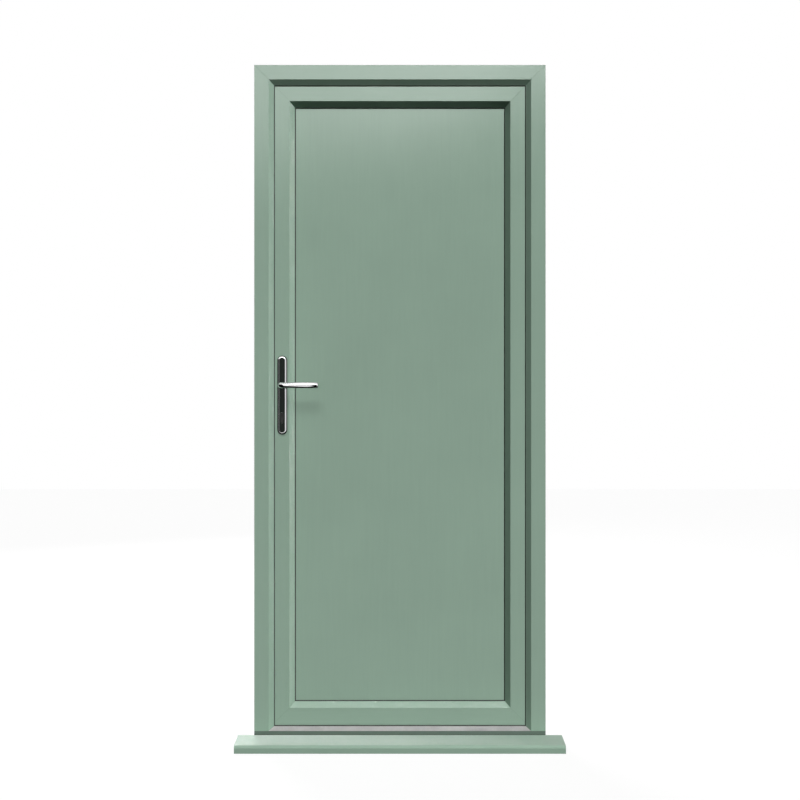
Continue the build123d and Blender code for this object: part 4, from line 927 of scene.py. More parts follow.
@dataclass(frozen=True)
class Foil:
    """Sage green foil, embossed with wood grain and laminated to the profiles."""

    name: str
    grain: Grain
    light: Colour = (0.270, 0.392, 0.307)
    dark: Colour = (0.250, 0.364, 0.285)
    weld_colour: Colour = (0.215, 0.315, 0.245)
    # painted highlight: the paler green that the foil's edges are blended towards
    edge_highlight_colour: Colour = (0.42, 0.50, 0.44)
    dust_colour: Colour = (0.46, 0.47, 0.44)
    roughness: float = 0.14
    roughness_below: float = 0.03
    roughness_above: float = 0.05
    half_width: float = OPENING.half_width
    top: float = OPENING.top
    foot: float = NO_WELD
    relief: float = 0.00005
    waviness: float = 1.1
    dust: float = 0.10
    edge_highlight_share: float = 0.12
    weld_share: float = 0.55
    weld_depth: float = 2.5
    edge_radius: float = 0.0006
    height_range: tuple[float, float] = (0.2, 1.2)

    def build(self, effects: Effects) -> bpy.types.Material:
        """Build the material.

        Args:
            effects: The shared shader groups.

        Returns:
            The finished material.
        """
        material, graph, shader = start_material(self.name, self.light, 0.0, self.roughness)
        place = graph.coordinates()
        emboss = graph.group(effects.emboss, Vector=place, Stretch=self.grain.value, Waviness=self.waviness)
        weld = graph.group(effects.weld, Vector=place, Half_Width=self.half_width,
                           Top=self.top, Foot=self.foot)
        edge = graph.group(effects.edge, Radius=self.edge_radius)
        dust = graph.group(effects.dust, Vector=place, Amount=self.dust)
        tone = graph.remap(emboss.outputs["Tone"], Ramp(*MID_RANGE))
        colour = graph.blend(tone, self.dark, self.light)
        # painted highlight: every cut edge of the foil is blended towards a paler green
        edge_lit = graph.blend(graph.math("MULTIPLY", edge.outputs["Edge"], self.edge_highlight_share), colour, self.edge_highlight_colour)
        dusty = graph.blend(dust.outputs["Dust"], edge_lit, self.dust_colour)
        line = weld.outputs["Line"]
        welded = graph.blend(graph.math("MULTIPLY", line, self.weld_share), dusty, self.weld_colour)
        graph.feed(shader.inputs["Base Color"], welded)
        spread = Ramp(*self.height_range, self.roughness - self.roughness_below,
                      self.roughness + self.roughness_above)
        graph.feed(shader.inputs["Roughness"], graph.remap(emboss.outputs["Height"], spread))
        groove = graph.math("MULTIPLY", line, self.weld_depth)
        height = graph.math("SUBTRACT", emboss.outputs["Height"], groove)
        emboss_shader(graph, shader, height, self.relief, edge.outputs["Normal"])
        return material


@dataclass(frozen=True)
class Metal:
    """A metal with drawn or rolled lines, a painted highlight that brightens its edges, and a patchy shine.
    """

    name: str
    colour: Colour
    roughness: float
    lines: Draw = Draw.UPRIGHT
    fineness: float = 1500.0
    relief: float = 0.00001
    patch: float = 0.12
    edge_shine: float = 0.25
    edge_gain: float = 1.15
    roughness_spread: float = 0.35

    def build(self, effects: Effects) -> bpy.types.Material:
        """Build the material.

        Args:
            effects: The shared shader groups.

        Returns:
            The finished material.
        """
        material, graph, shader = start_material(self.name, self.colour, 1.0, self.roughness)
        place = graph.coordinates()
        drawn = graph.group(effects.drawn, Vector=place, Stretch=self.lines.value, Fineness=self.fineness)
        edge = graph.group(effects.edge, Radius=EDGE_RADIUS)
        deep = tuple(channel * (1.0 - self.patch) for channel in self.colour)
        colour = graph.blend(graph.remap(drawn.outputs["Tone"], Ramp(*METAL_RANGE)), deep, self.colour)
        # painted highlight: the colour is brightened on the edges
        bright = tuple(min(1.0, channel * self.edge_gain) for channel in self.colour)
        shine = graph.math("MULTIPLY", edge.outputs["Edge"], self.edge_shine)
        graph.feed(shader.inputs["Base Color"], graph.blend(shine, colour, bright))
        spread = self.roughness * self.roughness_spread
        rough = graph.remap(drawn.outputs["Tone"],
                            Ramp(*MID_RANGE, self.roughness - spread, self.roughness + spread))
        graph.feed(shader.inputs["Roughness"], rough)
        emboss_shader(graph, shader, drawn.outputs["Height"], self.relief, edge.outputs["Normal"])
        return material


@dataclass(frozen=True)
class ThresholdMetal:
    """Mill-finished aluminium whose front face is painted a dark, non-metal green as painted shade and a
    painted reflection of the green cill.
    """

    name: str = "threshold_anodised"
    colour: Colour = (0.42, 0.42, 0.415)
    # painted shade and painted reflection: the dark green given to the front face
    shaded_front_colour: Colour = (0.105, 0.145, 0.118)
    # painted shade: the near-black that the front face darkens to at its foot
    foot_shade_colour: Colour = (0.02, 0.026, 0.022)
    roughness: float = 0.34
    roughness_spread: float = 0.02
    front_roughness: float = 0.1
    front: float = 0.00005
    front_step: float = 0.0002
    foot: float = 0.030
    foot_shade_height: float = 0.0045
    foot_shade_share: float = 0.5
    patch: float = 0.88
    fineness: float = 1800.0
    relief: float = 0.000006
    dust: float = 0.10

    def build(self, effects: Effects) -> bpy.types.Material:
        """Build the material.

        Args:
            effects: The shared shader groups.

        Returns:
            The finished material.
        """
        material, graph, shader = start_material(self.name, self.colour, 1.0, self.roughness)
        place = graph.coordinates()
        drawn = graph.group(effects.drawn, Vector=place, Stretch=Draw.ACROSS.value, Fineness=self.fineness)
        edge = graph.group(effects.edge, Radius=EDGE_RADIUS)
        dust = graph.group(effects.dust, Vector=place, Amount=self.dust)
        split = graph.node("ShaderNodeSeparateXYZ", Vector=place)
        # painted shade: the front face, in front of Y = front, is painted a dark non-metal green that stands
        # in for shade and the cill's green reflection
        front_band_mask = graph.remap(split.outputs["Y"], Ramp(self.front, self.front + self.front_step, 1.0, 0.0))
        # painted shade: the front face darkens towards its foot, where the threshold meets the cill
        foot_shade = graph.remap(split.outputs["Z"], Ramp(self.foot, self.foot + self.foot_shade_height,
                                                     self.foot_shade_share, 1.0, smooth=True))
        tone = graph.remap(drawn.outputs["Tone"], Ramp(*METAL_RANGE, self.patch, 1.0))
        tones = graph.node("ShaderNodeCombineXYZ", X=tone, Y=tone, Z=tone)
        metal = graph.vector("MULTIPLY", self.colour, tones.outputs[0])
        dusty = graph.blend(dust.outputs["Dust"], metal, METAL_DUST)
        shaded_front = graph.blend(foot_shade, self.foot_shade_colour, self.shaded_front_colour)
        graph.feed(shader.inputs["Base Color"], graph.blend(front_band_mask, dusty, shaded_front))
        graph.feed(shader.inputs["Metallic"], graph.math("SUBTRACT", 1.0, front_band_mask))
        spread = Ramp(*MID_RANGE, self.roughness - self.roughness_spread,
                      self.roughness + self.roughness_spread)
        rough = graph.math("ADD", graph.remap(drawn.outputs["Tone"], spread),
                           graph.math("MULTIPLY", front_band_mask, self.front_roughness))
        graph.feed(shader.inputs["Roughness"], rough)
        emboss_shader(graph, shader, drawn.outputs["Height"], self.relief, edge.outputs["Normal"])
        return material


@dataclass(frozen=True)
class PlateFinish:
    """Chrome plate painted gloss black on its flat face as a painted reflection of a dark surround, and on
    its outer flank as painted reflection and shade, with a polished chrome band on the shoulder of its rim.
    """

    name: str = "handle_plate_two_tone"
    rim: Colour = (0.88, 0.885, 0.89)
    handled_rim: Colour = (0.84, 0.85, 0.86)
    face: Colour = (0.003, 0.008, 0.005)
    rim_roughness: float = 0.07
    face_roughness: float = 0.12
    face_gloss: float = 0.22
    centre: tuple[float, float] = (-0.365, 1.080)
    half_length: float = 0.107
    face_radius: float = 0.0091
    band_radius: float = 0.0130
    band_step: float = 0.00008
    relief: float = 0.000008
    smears: Ramp = Ramp(0.60, 0.75, 0.0, 0.03)

    def build(self, effects: Effects) -> bpy.types.Material:
        """Build the material.

        Args:
            effects: The shared shader groups.

        Returns:
            The finished material.
        """
        material, graph, shader = start_material(self.name, self.face, 0.0, self.face_roughness)
        place = graph.coordinates()
        split = graph.node("ShaderNodeSeparateXYZ", Vector=place)
        aside = graph.math("SUBTRACT", split.outputs["X"], self.centre[0])
        away = graph.math("ABSOLUTE", graph.math("SUBTRACT", split.outputs["Z"], self.centre[1]))
        past = graph.math("MAXIMUM", graph.math("SUBTRACT", away, self.half_length), 0.0)
        reach = graph.vector("LENGTH", graph.node("ShaderNodeCombineXYZ", X=aside, Z=past).outputs[0])
        # painted reflection: inside face_radius the plate is painted black where chrome would mirror a dark
        # surround; outside band_radius the flank is painted black as painted reflection and shade
        inner = graph.remap(reach, Ramp(self.face_radius, self.face_radius + self.band_step, 1.0, 0.0))
        outer = graph.remap(reach, Ramp(self.band_radius, self.band_radius + self.band_step))
        dark_reflection_mask = graph.math("MAXIMUM", inner, outer)
        edge = graph.group(effects.edge, Radius=EDGE_RADIUS)
        marks = graph.noise(graph.vector("MULTIPLY", place, HAIRLINE_STRETCH), HAIRLINES)
        shiny = graph.blend(graph.remap(marks, Ramp(*MID_RANGE)), self.rim, self.handled_rim)
        graph.feed(shader.inputs["Base Color"], graph.blend(dark_reflection_mask, shiny, self.face))
        graph.feed(shader.inputs["Metallic"], graph.math("SUBTRACT", 1.0, dark_reflection_mask))
        step = self.face_roughness - self.rim_roughness
        rough = graph.math("MULTIPLY_ADD", dark_reflection_mask, step, self.rim_roughness)
        graph.feed(shader.inputs["Roughness"], graph.math("ADD", rough, graph.remap(marks, self.smears)))
        emboss_shader(graph, shader, graph.noise(place, FLOW_MARKS), self.relief, edge.outputs["Normal"])
        shader.inputs["Specular IOR Level"].default_value = self.face_gloss
        return material


@dataclass(frozen=True)
class Rubber:
    """Black weather seal with a matt skin and a trace of dust."""

    name: str = "weather_seal_rubber"
    colour: Colour = (0.017, 0.021, 0.018)
    bloom_colour: Colour = (0.16, 0.17, 0.155)
    roughness: float = 0.62
    roughness_below: float = 0.08
    roughness_above: float = 0.12
    relief: float = 0.00003
    dust: float = 0.12
    skin: Noise = Noise(1300.0, 3.0, 0.6)
    bloom: Noise = Noise(45.0, 4.0, 0.6)
    bloom_cut: Ramp = Ramp(0.4, 0.75, 0.0, 0.14)

    def build(self, effects: Effects) -> bpy.types.Material:
        """Build the material.

        Args:
            effects: The shared shader groups.

        Returns:
            The finished material.
        """
        material, graph, shader = start_material(self.name, self.colour, 0.0, self.roughness)
        place = graph.coordinates()
        skin = graph.noise(place, self.skin)
        bloom = graph.remap(graph.noise(place, self.bloom), self.bloom_cut)
        dust = graph.group(effects.dust, Vector=place, Amount=self.dust)
        haze = graph.math("ADD", bloom, dust.outputs["Dust"])
        graph.feed(shader.inputs["Base Color"], graph.blend(haze, self.colour, self.bloom_colour))
        spread = Ramp(*MID_RANGE, self.roughness - self.roughness_below,
                      self.roughness + self.roughness_above)
        graph.feed(shader.inputs["Roughness"], graph.remap(skin, spread))
        emboss_shader(graph, shader, skin, self.relief)
        return material


@dataclass(frozen=True)
class Moulding:
    """Satin moulded plastic with a faint flow texture and hairline marks."""

    name: str
    colour: Colour
    roughness: float
    relief: float = 0.00002
    pale_step: float = 0.10
    marks: Ramp = Ramp(0.62, 0.72, 0.0, 0.06)
    roughness_shares: tuple[float, float] = (0.85, 1.2)

    def build(self, effects: Effects) -> bpy.types.Material:
        """Build the material.

        Args:
            effects: The shared shader groups.

        Returns:
            The finished material.
        """
        material, graph, shader = start_material(self.name, self.colour, 0.0, self.roughness)
        place = graph.coordinates()
        edge = graph.group(effects.edge, Radius=EDGE_RADIUS)
        flow = graph.noise(place, FLOW_MARKS)
        marks = graph.noise(graph.vector("MULTIPLY", place, HAIRLINE_STRETCH), HAIRLINES)
        mask = graph.remap(marks, self.marks)
        pale = tuple(channel + self.pale_step for channel in self.colour)
        graph.feed(shader.inputs["Base Color"], graph.blend(mask, self.colour, pale))
        spread = Ramp(*MID_RANGE, *(self.roughness * share for share in self.roughness_shares))
        graph.feed(shader.inputs["Roughness"], graph.math("ADD", graph.remap(flow, spread), mask))
        emboss_shader(graph, shader, flow, self.relief, edge.outputs["Normal"])
        return material


@dataclass(frozen=True)
class Foam:
    """Closed-cell foam core, with cells that show at its cut edges."""

    name: str = "panel_foam"
    colour: Colour = (0.62, 0.70, 0.78)
    wall_colour: Colour = (0.50, 0.58, 0.66)
    roughness: float = 0.85
    relief: float = 0.0001
    cells: float = 1400.0
    wall: Ramp = Ramp(0.0, 0.18)

    def build(self) -> bpy.types.Material:
        """Build the material.

        Returns:
            The finished material.
        """
        material, graph, shader = start_material(self.name, self.colour, 0.0, self.roughness)
        cells = graph.node("ShaderNodeTexVoronoi", {"feature": "DISTANCE_TO_EDGE"},
                           Vector=graph.coordinates(), Scale=self.cells)
        wall = graph.remap(cells.outputs["Distance"], self.wall)
        graph.feed(shader.inputs["Base Color"], graph.blend(wall, self.wall_colour, self.colour))
        emboss_shader(graph, shader, wall, self.relief)
        return material


class Palette:
    """Every finish of the door set, built once."""

    def __init__(self, effects: Effects) -> None:
        """Build the finishes.

        Args:
            effects: The shared shader groups.
        """
        plain = {"top": FAR_TOP, "foot": -FAR_TOP}
        self.frame_upright = Foil("sage_foil_frame_upright", Grain.UPRIGHT).build(effects)
        self.frame_level = Foil("sage_foil_frame_level", Grain.LEVEL).build(effects)
        self.sash_upright = Foil("sage_foil_sash_upright", Grain.UPRIGHT, foot=OPENING.foot).build(effects)
        self.sash_level = Foil("sage_foil_sash_level", Grain.LEVEL, foot=OPENING.foot).build(effects)
        self.panel = Foil("sage_foil_panel", Grain.UPRIGHT, waviness=0.9, **plain).build(effects)
        self.cill = Foil("sage_foil_cill", Grain.LEVEL, dust=0.16, roughness=0.36, **plain).build(effects)
        self.aluminium = ThresholdMetal().build(effects)
        self.rubber = Rubber().build(effects)
        self.chrome = Metal("polished_chrome", (0.88, 0.885, 0.89), 0.07, Draw.UPRIGHT, 900.0,
                            relief=0.0000004, patch=0.03, edge_shine=0.1).build(effects)
        self.plate = PlateFinish().build(effects)
        self.zinc = Metal("zinc_plated_steel", (0.58, 0.60, 0.62), 0.38, Draw.UPRIGHT, 1100.0,
                          relief=0.000008, patch=0.22).build(effects)
        self.bolt_steel = Metal("bright_bolt_steel", (0.66, 0.65, 0.63), 0.26, Draw.UPRIGHT, 1700.0,
                                relief=0.000006).build(effects)
        self.hinge = Metal("hinge_satin_silver", (0.60, 0.61, 0.62), 0.42, Draw.UPRIGHT, 1300.0,
                           relief=0.000005, patch=0.08).build(effects)
        # painted reflection: the cylinder and its plugs are a near-black metal that stands in for chrome
        # mirroring a dark surround
        self.dark_painted_metal = Metal("cylinder_black_nickel", (0.050, 0.052, 0.050), 0.20, Draw.ACROSS, 1600.0,
                            relief=0.000003).build(effects)
        self.foam = Foam().build()
        self.packer = Moulding("packer_plastic", (0.10, 0.16, 0.42), 0.45).build(effects)


def dress(node: str, material: bpy.types.Material) -> None:
    """Give a CAD node its finish.

    Args:
        node: The node's name.
        material: The finish.
    """
    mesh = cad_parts[node].data
    mesh.materials.clear()
    mesh.materials.append(material)
    LOG.info("%s: %s", node, material.name)


def hinge_screw_places(leaf: str, columns: tuple[float, ...], depth: float,
                       step: float) -> tuple[Point, ...]:
    """Give the places of the screws in one kind of hinge leaf, from the top hinge down.

    Args:
        leaf: The kind of leaf, frame or sash.
        columns: X of each column of screws.
        depth: Y of the screws' heads.
        step: Height of a screw over or under its leaf's middle.

    Returns:
        The places.
    """
    places = []
    for name in HINGE_NAMES:
        low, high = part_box(f"hinge_{leaf}_leaf_{name}")
        middle = (low.z + high.z) / 2
        places += [(x, depth, middle + side * step) for x in columns for side in (-1, 1)]
    return tuple(places)


# Sub-assemblies


@dataclass
class OuterFrame:
    """Mitred frame with its steels, seal, keeps and fixings."""

    palette: Palette
    screws: ScrewMaker
    seals: SealMaker
    keep_face: Point = (-0.407, 0.045, 0.0)
    centre_levels: tuple[float, ...] = (1.024, 1.094, 1.150)
    hook_levels: tuple[float, ...] = (1.650, 0.480)
    hook_steps: tuple[float, ...] = (-0.042, 0.044)
    leaf_screw_step: float = 0.060
    leaf_screw_x: tuple[float, ...] = (0.4355,)
    leaf_screw_y: float = 0.073
    screw_length: float = 0.015
    seal_low: float = 0.0473

    def build_screws(self) -> None:
        """Build the screws of the keeps and of the hinges' frame leaves."""
        x, y, _ = self.keep_face
        hooks = tuple(level + step for level in self.hook_levels for step in self.hook_steps)
        places = tuple((x, y, level) for level in self.centre_levels + hooks)
        keeps = ScrewRow(WOOD_SCREW, self.screw_length, (1.0, 0.0, 0.0), places)
        places = hinge_screw_places("frame", self.leaf_screw_x, self.leaf_screw_y, self.leaf_screw_step)
        leaves = ScrewRow(WOOD_SCREW, self.screw_length, (0.0, 1.0, 0.0), places)
        mesh = self.screws.make("frame_screw_set", [keeps, leaves], self.palette.zinc)
        add_piece(mesh, "frame", "frame_screws")

    def build_seal(self) -> None:
        """Build the seal that the closed leaf's outer face meets."""
        seal = Seal(width=(0.052, 0.062), root=(0.0542, 0.0568), seat=0.0128, pad=0.0027)
        mesh = self.seals.make("frame_seal", seal, OPENING.portal(self.seal_low), self.palette.rubber)
        add_piece(mesh, "frame", "frame_gasket")

    def dress_nodes(self) -> None:
        """Dress the frame's CAD nodes."""
        dress("frame_head", self.palette.frame_level)
        for side in ("lock", "hinge"):
            dress(f"frame_jamb_{side}", self.palette.frame_upright)
        for place in ("head", "lock", "hinge"):
            dress(f"frame_steel_{place}", self.palette.zinc)
        for keep in ("centre_keep", "hook_keep_upper", "hook_keep_lower"):
            dress(keep, self.palette.zinc)
        self.build_screws()
        self.build_seal()


@dataclass
class Foot:
    """Threshold, its seal, and the cill below."""

    palette: Palette

    def dress_nodes(self) -> None:
        """Dress the threshold's and the cill's CAD nodes."""
        dress("threshold", self.palette.aluminium)
        dress("threshold_seal", self.palette.rubber)
        dress("cill", self.palette.cill)
        dress("cill_end_caps", self.palette.cill)


@dataclass
class Leaf:
    """Opening leaf: mitred sash, panel, beads, packers and seals."""

    palette: Palette
    screws: ScrewMaker
    seals: SealMaker
    leaf_screw_x: tuple[float, ...] = (0.393, 0.380)
    leaf_screw_y: float = 0.0888
    leaf_screw_step: float = 0.038
    leaf_screw_length: float = 0.015
    face_screw_x: float = -0.400
    face_screw_y: float = 0.045
    face_screw_levels: tuple[float, ...] = (0.312, 0.930, 1.200, 1.838)
    face_screw_length: float = 0.013

    def build_screws(self) -> None:
        """Build the screws of the hinges' sash leaves and of the lock faceplate."""
        places = hinge_screw_places("sash", self.leaf_screw_x, self.leaf_screw_y, self.leaf_screw_step)
        leaves = ScrewRow(WOOD_SCREW, self.leaf_screw_length, (0.0, 1.0, 0.0), places)
        places = tuple((self.face_screw_x, self.face_screw_y, level) for level in self.face_screw_levels)
        faces = ScrewRow(WOOD_SCREW, self.face_screw_length, (-1.0, 0.0, 0.0), places)
        mesh = self.screws.make("sash_screw_set", [leaves, faces], self.palette.zinc)
        add_piece(mesh, "sash", "sash_screws")

    def build_seals(self) -> None:
        """Build the seal under the panel's edge and the one on the leaf's flange."""
        panel = Seal(width=(0.112, 0.1247), root=(0.1132, 0.1158), seat=0.0365, pad=0.003, bevel=0.0028)
        mesh = self.seals.make("panel_seal", panel, OPENING.ring(), self.palette.rubber)
        add_piece(mesh, "sash", "panel_gasket")
        flange = Seal(width=(0.032, 0.044), root=(0.0362, 0.0388), seat=0.073, pad=-0.0027)
        mesh = self.seals.make("sash_seal", flange, OPENING.ring(), self.palette.rubber)
        add_piece(mesh, "sash", "sash_gasket")

    def dress_nodes(self) -> None:
        """Dress the leaf's CAD nodes."""
        for stile in ("sash_stile_lock", "sash_stile_hinge", "glazing_beads_vertical"):
            dress(stile, self.palette.sash_upright)
        for rail in ("sash_top_rail", "sash_bottom_rail", "glazing_beads_horizontal"):
            dress(rail, self.palette.sash_level)
        for skin in ("panel_outer_skin", "panel_inner_skin"):
            dress(skin, self.palette.panel)
        dress("panel_core", self.palette.foam)
        for steel in ("sash_steel_lock", "sash_steel_hinge", "sash_steels_rails"):
            dress(steel, self.palette.zinc)
        dress("glazing_packers", self.palette.packer)
        self.build_screws()
        self.build_seals()


@dataclass
class Furniture:
    """Lever handles on their plates, and the profile cylinder."""

    palette: Palette
    screws: ScrewMaker
    axis_x: float = -0.365
    plate_level: float = 1.080
    plate_screw_step: float = 0.1075
    inside_face: float = 0.0958
    plate_screw_length: float = 0.0855
    cylinder_screw: Point = (-0.400, 0.045, 0.9985)
    cylinder_screw_length: float = 0.040

    def build_screws(self) -> None:
        """Build the two through screws of the plates and the cylinder's fixing screw."""
        places = tuple((self.axis_x, self.inside_face, self.plate_level + side * self.plate_screw_step)
                       for side in (-1, 1))
        row = ScrewRow(MACHINE_SCREW, self.plate_screw_length, (0.0, 1.0, 0.0), places)
        mesh = self.screws.make("plate_screw_set", [row], self.palette.chrome)
        add_piece(mesh, "sash", "handle_screws")
        row = ScrewRow(MACHINE_SCREW, self.cylinder_screw_length, (-1.0, 0.0, 0.0), (self.cylinder_screw,))
        mesh = self.screws.make("cylinder_fixing_screw", [row], self.palette.zinc)
        add_piece(mesh, "sash", "cylinder_screw")

    def dress_nodes(self) -> None:
        """Dress the furniture's CAD nodes."""
        for side in ("outside", "inside"):
            dress(f"{side}_handle_plate", self.palette.plate)
            dress(f"{side}_lever", self.palette.chrome)
            dress(f"{side}_plug", self.palette.dark_painted_metal)
        for node in ("cylinder_body", "cylinder_cam"):
            dress(node, self.palette.dark_painted_metal)
        dress("spindle", self.palette.bolt_steel)
        self.build_screws()


@dataclass
class LockGear:
    """Multipoint lock: faceplate, drive strip, cases, bolts and hooks."""

    palette: Palette

    def dress_nodes(self) -> None:
        """Dress the lock's CAD nodes."""
        for node in ("lock_faceplate", "latch_bolt", "deadbolt", "hook_upper", "hook_lower"):
            dress(node, self.palette.bolt_steel)
        for node in ("drive_strip", "follower", "lock_case", "hook_case_upper", "hook_case_lower"):
            dress(node, self.palette.zinc)


@dataclass
class Hinges:
    """Three surface hinges on the room side."""

    palette: Palette

    def dress_nodes(self) -> None:
        """Dress the hinges' CAD nodes."""
        for name in HINGE_NAMES:
            dress(f"hinge_frame_leaf_{name}", self.palette.hinge)
            dress(f"hinge_sash_leaf_{name}", self.palette.hinge)
        dress("hinge_pins", self.palette.hinge)


# Studio


@dataclass(frozen=True)
class Gleam:
    """A bright panel of the studio that shows in the gloss alone."""

    name: str
    source: Point
    radiance: float
    width: float


@dataclass(frozen=True)
class GlossSky:
    """What the gloss mirrors in place of the backdrop.

    Its limits are directions: across, along and up are the parts of a direction on X, Y and Z, and a
    turn is an angle round Z from the camera's side.
    """

    wide: float = 0.80
    lifted: Ramp = Ramp(-0.42, -0.34, smooth=True)
    zenith: Ramp = Ramp(0.88, 0.97, 1.0, 0.5, smooth=True)
    left_turn: Ramp = Ramp(-0.36, -0.18, smooth=True)
    left_up: Ramp = Ramp(0.25, 0.45, smooth=True)
    right_turn: Ramp = Ramp(1.0, 1.24, 1.0, 0.0, smooth=True)
    behind: Ramp = Ramp(0.25, 0.60, 0.0, 0.55, smooth=True)
    horizon: float = 0.249
    horizon_blur: float = 0.012
    horizon_bends: tuple[Ramp, ...] = (Ramp(0.02, 0.13, 0.0, -0.072), Ramp(-0.16, -0.09, 0.036, 0.0))
    front: Ramp = Ramp(-0.75, -0.92, smooth=True)
    low: Ramp = Ramp(0.43, 0.35, smooth=True)
    glare: tuple[float, float] = (3.6, 6.4)
    glare_height: float = 0.08
    glare_sides: tuple[Ramp, ...] = (Ramp(-0.12, 0.0, 0.78, 1.0), Ramp(0.0, 0.13, 1.0, 1.7))

    def build(self, graph: Graph, across: bpy.types.NodeSocket, along: bpy.types.NodeSocket,
              up: bpy.types.NodeSocket) -> bpy.types.NodeSocket:
        """Wire the sky's strength.

        Args:
            graph: The world's graph.
            across: The direction's X.
            along: Its Y.
            up: Its Z.

        Returns:
            The strength's socket.
        """
        turn = graph.math("ARCTAN2", across, graph.math("MULTIPLY", along, -1.0))
        left = graph.math("MAXIMUM", graph.remap(turn, self.left_turn), graph.remap(up, self.left_up))
        sides = graph.math("MULTIPLY", left, graph.remap(turn, self.right_turn))
        height = graph.math("MULTIPLY", graph.remap(up, self.lifted), graph.remap(up, self.zenith))
        wide = graph.math("MULTIPLY", height, sides)
        edge = up
        for bend in self.horizon_bends:
            edge = graph.math("ADD", edge, graph.remap(across, bend))
        above = graph.remap(edge, Ramp(self.horizon - self.horizon_blur, self.horizon + self.horizon_blur,
                                       smooth=True))
        climb = graph.remap(up, Ramp(self.horizon, self.horizon + self.glare_height, *self.glare))
        for side in self.glare_sides:
            climb = graph.math("MULTIPLY", climb, graph.remap(across, side))
        band = graph.math("MULTIPLY", above, graph.remap(along, self.front))
        glare = graph.math("MULTIPLY", band, graph.math("MULTIPLY", graph.remap(up, self.low), climb))
        calm = graph.math("MULTIPLY_ADD", wide, self.wide, graph.remap(along, self.behind))
        return graph.math("ADD", calm, glare)


@dataclass
class Studio:
    """Pale floor, soft suns, the sky that the gloss mirrors, and the camera."""

    camera_place: Point = (0.0002, -3.137, 1.065)
    lens: float = 45.70
    sensor: float = 36.0
    floor_half: float = 9.0
    floor_paint: Colour = (0.14, 0.14, 0.14)
    floor_glow: float = 0.87
    floor_bounce: Colour = (0.02, 0.02, 0.02)
    white: Colour = (1.0, 1.0, 1.0)
    aim: Point = (0.0, 0.0, 0.0)
    sun_distance: float = 6.0
    fill_from: Point = (0.60, -0.60, 0.53)
    fill_strength: float = 2.48
    cast_from: Point = (-0.03, -0.76, 0.65)
    cast_strength: float = 1.22
    key_softness: float = math.radians(20.0)
    gleams: tuple[Gleam, ...] = (
        Gleam("gleam_over", (0.0, 0.21, 0.978), 2.2, math.radians(44.0)),
        Gleam("gleam_behind", (-0.13, 0.87, 0.46), 3.0, math.radians(26.0)),
        Gleam("gleam_right", (1.0, 0.0, 0.05), 1.6, math.radians(50.0)),
    )
    box_place: Point = (-1.6, 3.4, 2.8)
    box_aim: Point = (0.0, 0.0, 1.05)
    box_side: float = 2.0
    box_power: float = 160.0
    dome: Ramp = Ramp(0.05, 0.70, 0.0, 0.09, smooth=True)
    gloss_sky: GlossSky = GlossSky()

    def add_floor(self) -> None:
        """Lay the floor, which looks pale and throws little light back."""
        mesh = bpy.data.meshes.new("studio_floor")
        half = self.floor_half
        corners = [(-half, -half, 0), (half, -half, 0), (half, half, 0), (-half, half, 0)]
        mesh.from_pydata(corners, [], [(0, 1, 2, 3)])
        floor = bpy.data.objects.new("studio_floor", mesh)
        bpy.context.scene.collection.objects.link(floor)
        floor.visible_glossy = False
        material = bpy.data.materials.new("studio_floor_paint")
        material.use_nodes = True
        material.node_tree.nodes.clear()
        graph = Graph(material.node_tree)
        seen = graph.node("ShaderNodeBsdfDiffuse", Color=rgba(self.floor_paint))
        lift = graph.node("ShaderNodeEmission", Color=rgba(self.white), Strength=self.floor_glow)
        pale = graph.node("ShaderNodeAddShader")
        graph.feed(pale.inputs[0], seen.outputs[0])
        graph.feed(pale.inputs[1], lift.outputs[0])
        quiet = graph.node("ShaderNodeBsdfDiffuse", Color=rgba(self.floor_bounce))
        path = graph.node("ShaderNodeLightPath")
        self.mix_to_output(graph, path.outputs["Is Camera Ray"], quiet, pale, "ShaderNodeOutputMaterial")
        mesh.materials.append(material)

    @staticmethod
    def mix_to_output(graph: Graph, factor: bpy.types.NodeSocket, first: bpy.types.Node,
                      second: bpy.types.Node, kind: str) -> None:
        """Mix two shaders into the tree's output.

        Args:
            graph: The graph.
            factor: Share of the second shader.
            first: Shader for factor 0.
            second: Shader for factor 1.
            kind: The output node's type.
        """
        mix = graph.node("ShaderNodeMixShader")
        for socket, value in zip(mix.inputs, (factor, first.outputs[0], second.outputs[0])):
            graph.feed(socket, value)
        graph.feed(graph.node(kind).inputs["Surface"], mix.outputs[0])

    def add_world(self) -> None:
        """Set a white backdrop, a dim dome, and a brighter sky for gloss to mirror."""
        world = bpy.data.worlds.new("studio_air")
        bpy.context.scene.world = world
        world.use_nodes = True
        world.node_tree.nodes.clear()
        graph = Graph(world.node_tree)
        towards = graph.node("ShaderNodeTexCoord").outputs["Generated"]
        split = graph.node("ShaderNodeSeparateXYZ", Vector=towards)
        mirrored = self.gloss_sky.build(graph, *split.outputs)
        overhead = graph.remap(split.outputs["Z"], self.dome)
        path = graph.node("ShaderNodeLightPath")
        chosen = graph.node("ShaderNodeMix", {"data_type": "FLOAT"})
        graph.feed(chosen.inputs["Factor"], path.outputs["Is Glossy Ray"])
        graph.feed(chosen.inputs[2], overhead)
        graph.feed(chosen.inputs[3], mirrored)
        lit = graph.node("ShaderNodeBackground", Color=rgba(self.white), Strength=chosen.outputs[0])
        white = graph.node("ShaderNodeBackground", Color=rgba(self.white), Strength=1.0)
        self.mix_to_output(graph, path.outputs["Is Camera Ray"], lit, white, "ShaderNodeOutputWorld")

    @staticmethod
    def hang_light(data: bpy.types.Light, place: Vector, aim: Vector) -> bpy.types.Object:
        """Hang a light where it faces a point.

        Args:
            data: The light.
            place: Where it hangs.
            aim: The point that it faces.

        Returns:
            The light's object.
        """
        light = bpy.data.objects.new(data.name, data)
        bpy.context.scene.collection.objects.link(light)
        light.location = place
        light.rotation_euler = (aim - place).to_track_quat("-Z", "Y").to_euler()
        return light

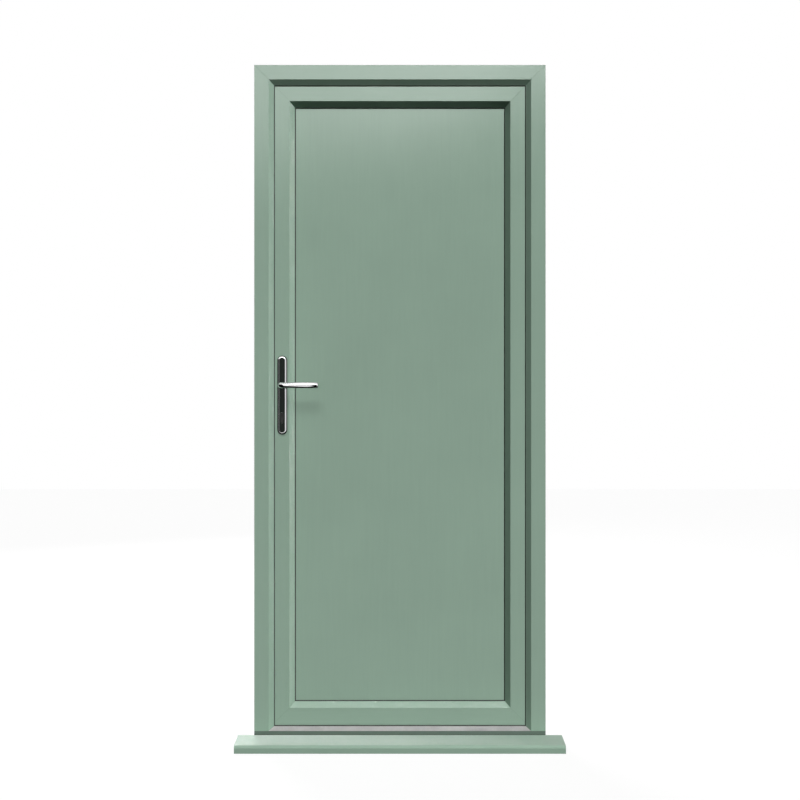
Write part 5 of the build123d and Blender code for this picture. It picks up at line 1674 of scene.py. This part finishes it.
    def hang_sun(self, name: str, source: Point, strength: float, width: float,
                 casts: bool) -> bpy.types.Object:
        """Hang a sun.

        Args:
            name: The light's name.
            source: Direction that it shines from.
            strength: Its strength in watts per square metre.
            width: Angle that its disc fills.
            casts: Whether it casts shadows.

        Returns:
            The light's object.
        """
        data = bpy.data.lights.new(name, "SUN")
        data.energy, data.angle, data.use_shadow = strength, width, casts
        data.cycles.use_multiple_importance_sampling = casts
        return self.hang_light(data, Vector(source) * self.sun_distance, Vector(self.aim))

    def add_key(self, name: str, source: Point, strength: float, casts: bool) -> None:
        """Add one of the two suns that light the surfaces but don't show in their gloss.

        Args:
            name: The light's name.
            source: Direction that it shines from.
            strength: Its strength in watts per square metre.
            casts: Whether it casts shadows.
        """
        sun = self.hang_sun(name, source, strength, self.key_softness, casts)
        sun.visible_glossy = False

    def add_gleam(self, gleam: Gleam) -> None:
        """Add a sun that shows in the gloss alone.

        Args:
            gleam: The bright panel that it stands for.
        """
        strength = gleam.radiance * math.pi * math.sin(gleam.width / 2) ** 2
        source = Vector(gleam.source).normalized()
        sun = self.hang_sun(gleam.name, source, strength, gleam.width, casts=False)
        sun.visible_diffuse = False

    def add_box(self) -> None:
        """Add a soft box that lights the room side and that the camera doesn't see."""
        data = bpy.data.lights.new("room_side", "AREA")
        data.shape = "RECTANGLE"
        data.size = data.size_y = self.box_side
        data.energy = self.box_power
        light = self.hang_light(data, Vector(self.box_place), Vector(self.box_aim))
        light.visible_camera = light.visible_glossy = False

    def add_camera(self) -> None:
        """Add the camera that sees the door as the photograph does."""
        data = bpy.data.cameras.new("camera")
        data.lens = self.lens
        data.sensor_width = self.sensor
        camera = bpy.data.objects.new("camera", data)
        bpy.context.scene.collection.objects.link(camera)
        camera.location = self.camera_place
        camera.rotation_euler = (math.pi / 2, 0.0, 0.0)
        bpy.context.scene.camera = camera

    def build(self) -> None:
        """Build the studio."""
        self.add_floor()
        self.add_world()
        self.add_key("key_fill", self.fill_from, self.fill_strength, casts=False)
        self.add_key("key_cast", self.cast_from, self.cast_strength, casts=True)
        for gleam in self.gleams:
            self.add_gleam(gleam)
        self.add_box()
        self.add_camera()
        bpy.context.scene.view_settings.view_transform = "Standard"


def main() -> None:
    """Build every sub-assembly in order, and the studio last."""
    palette, screws, seals = Palette(Effects()), ScrewMaker(), SealMaker()
    for assembly in (OuterFrame(palette, screws, seals), Foot(palette), Leaf(palette, screws, seals),
                     Furniture(palette, screws), LockGear(palette), Hinges(palette)):
        assembly.dress_nodes()
        LOG.info("%s dressed", type(assembly).__name__)
    Studio().build()
    LOG.info("studio ready")


if __name__ == "__main__":
    main()
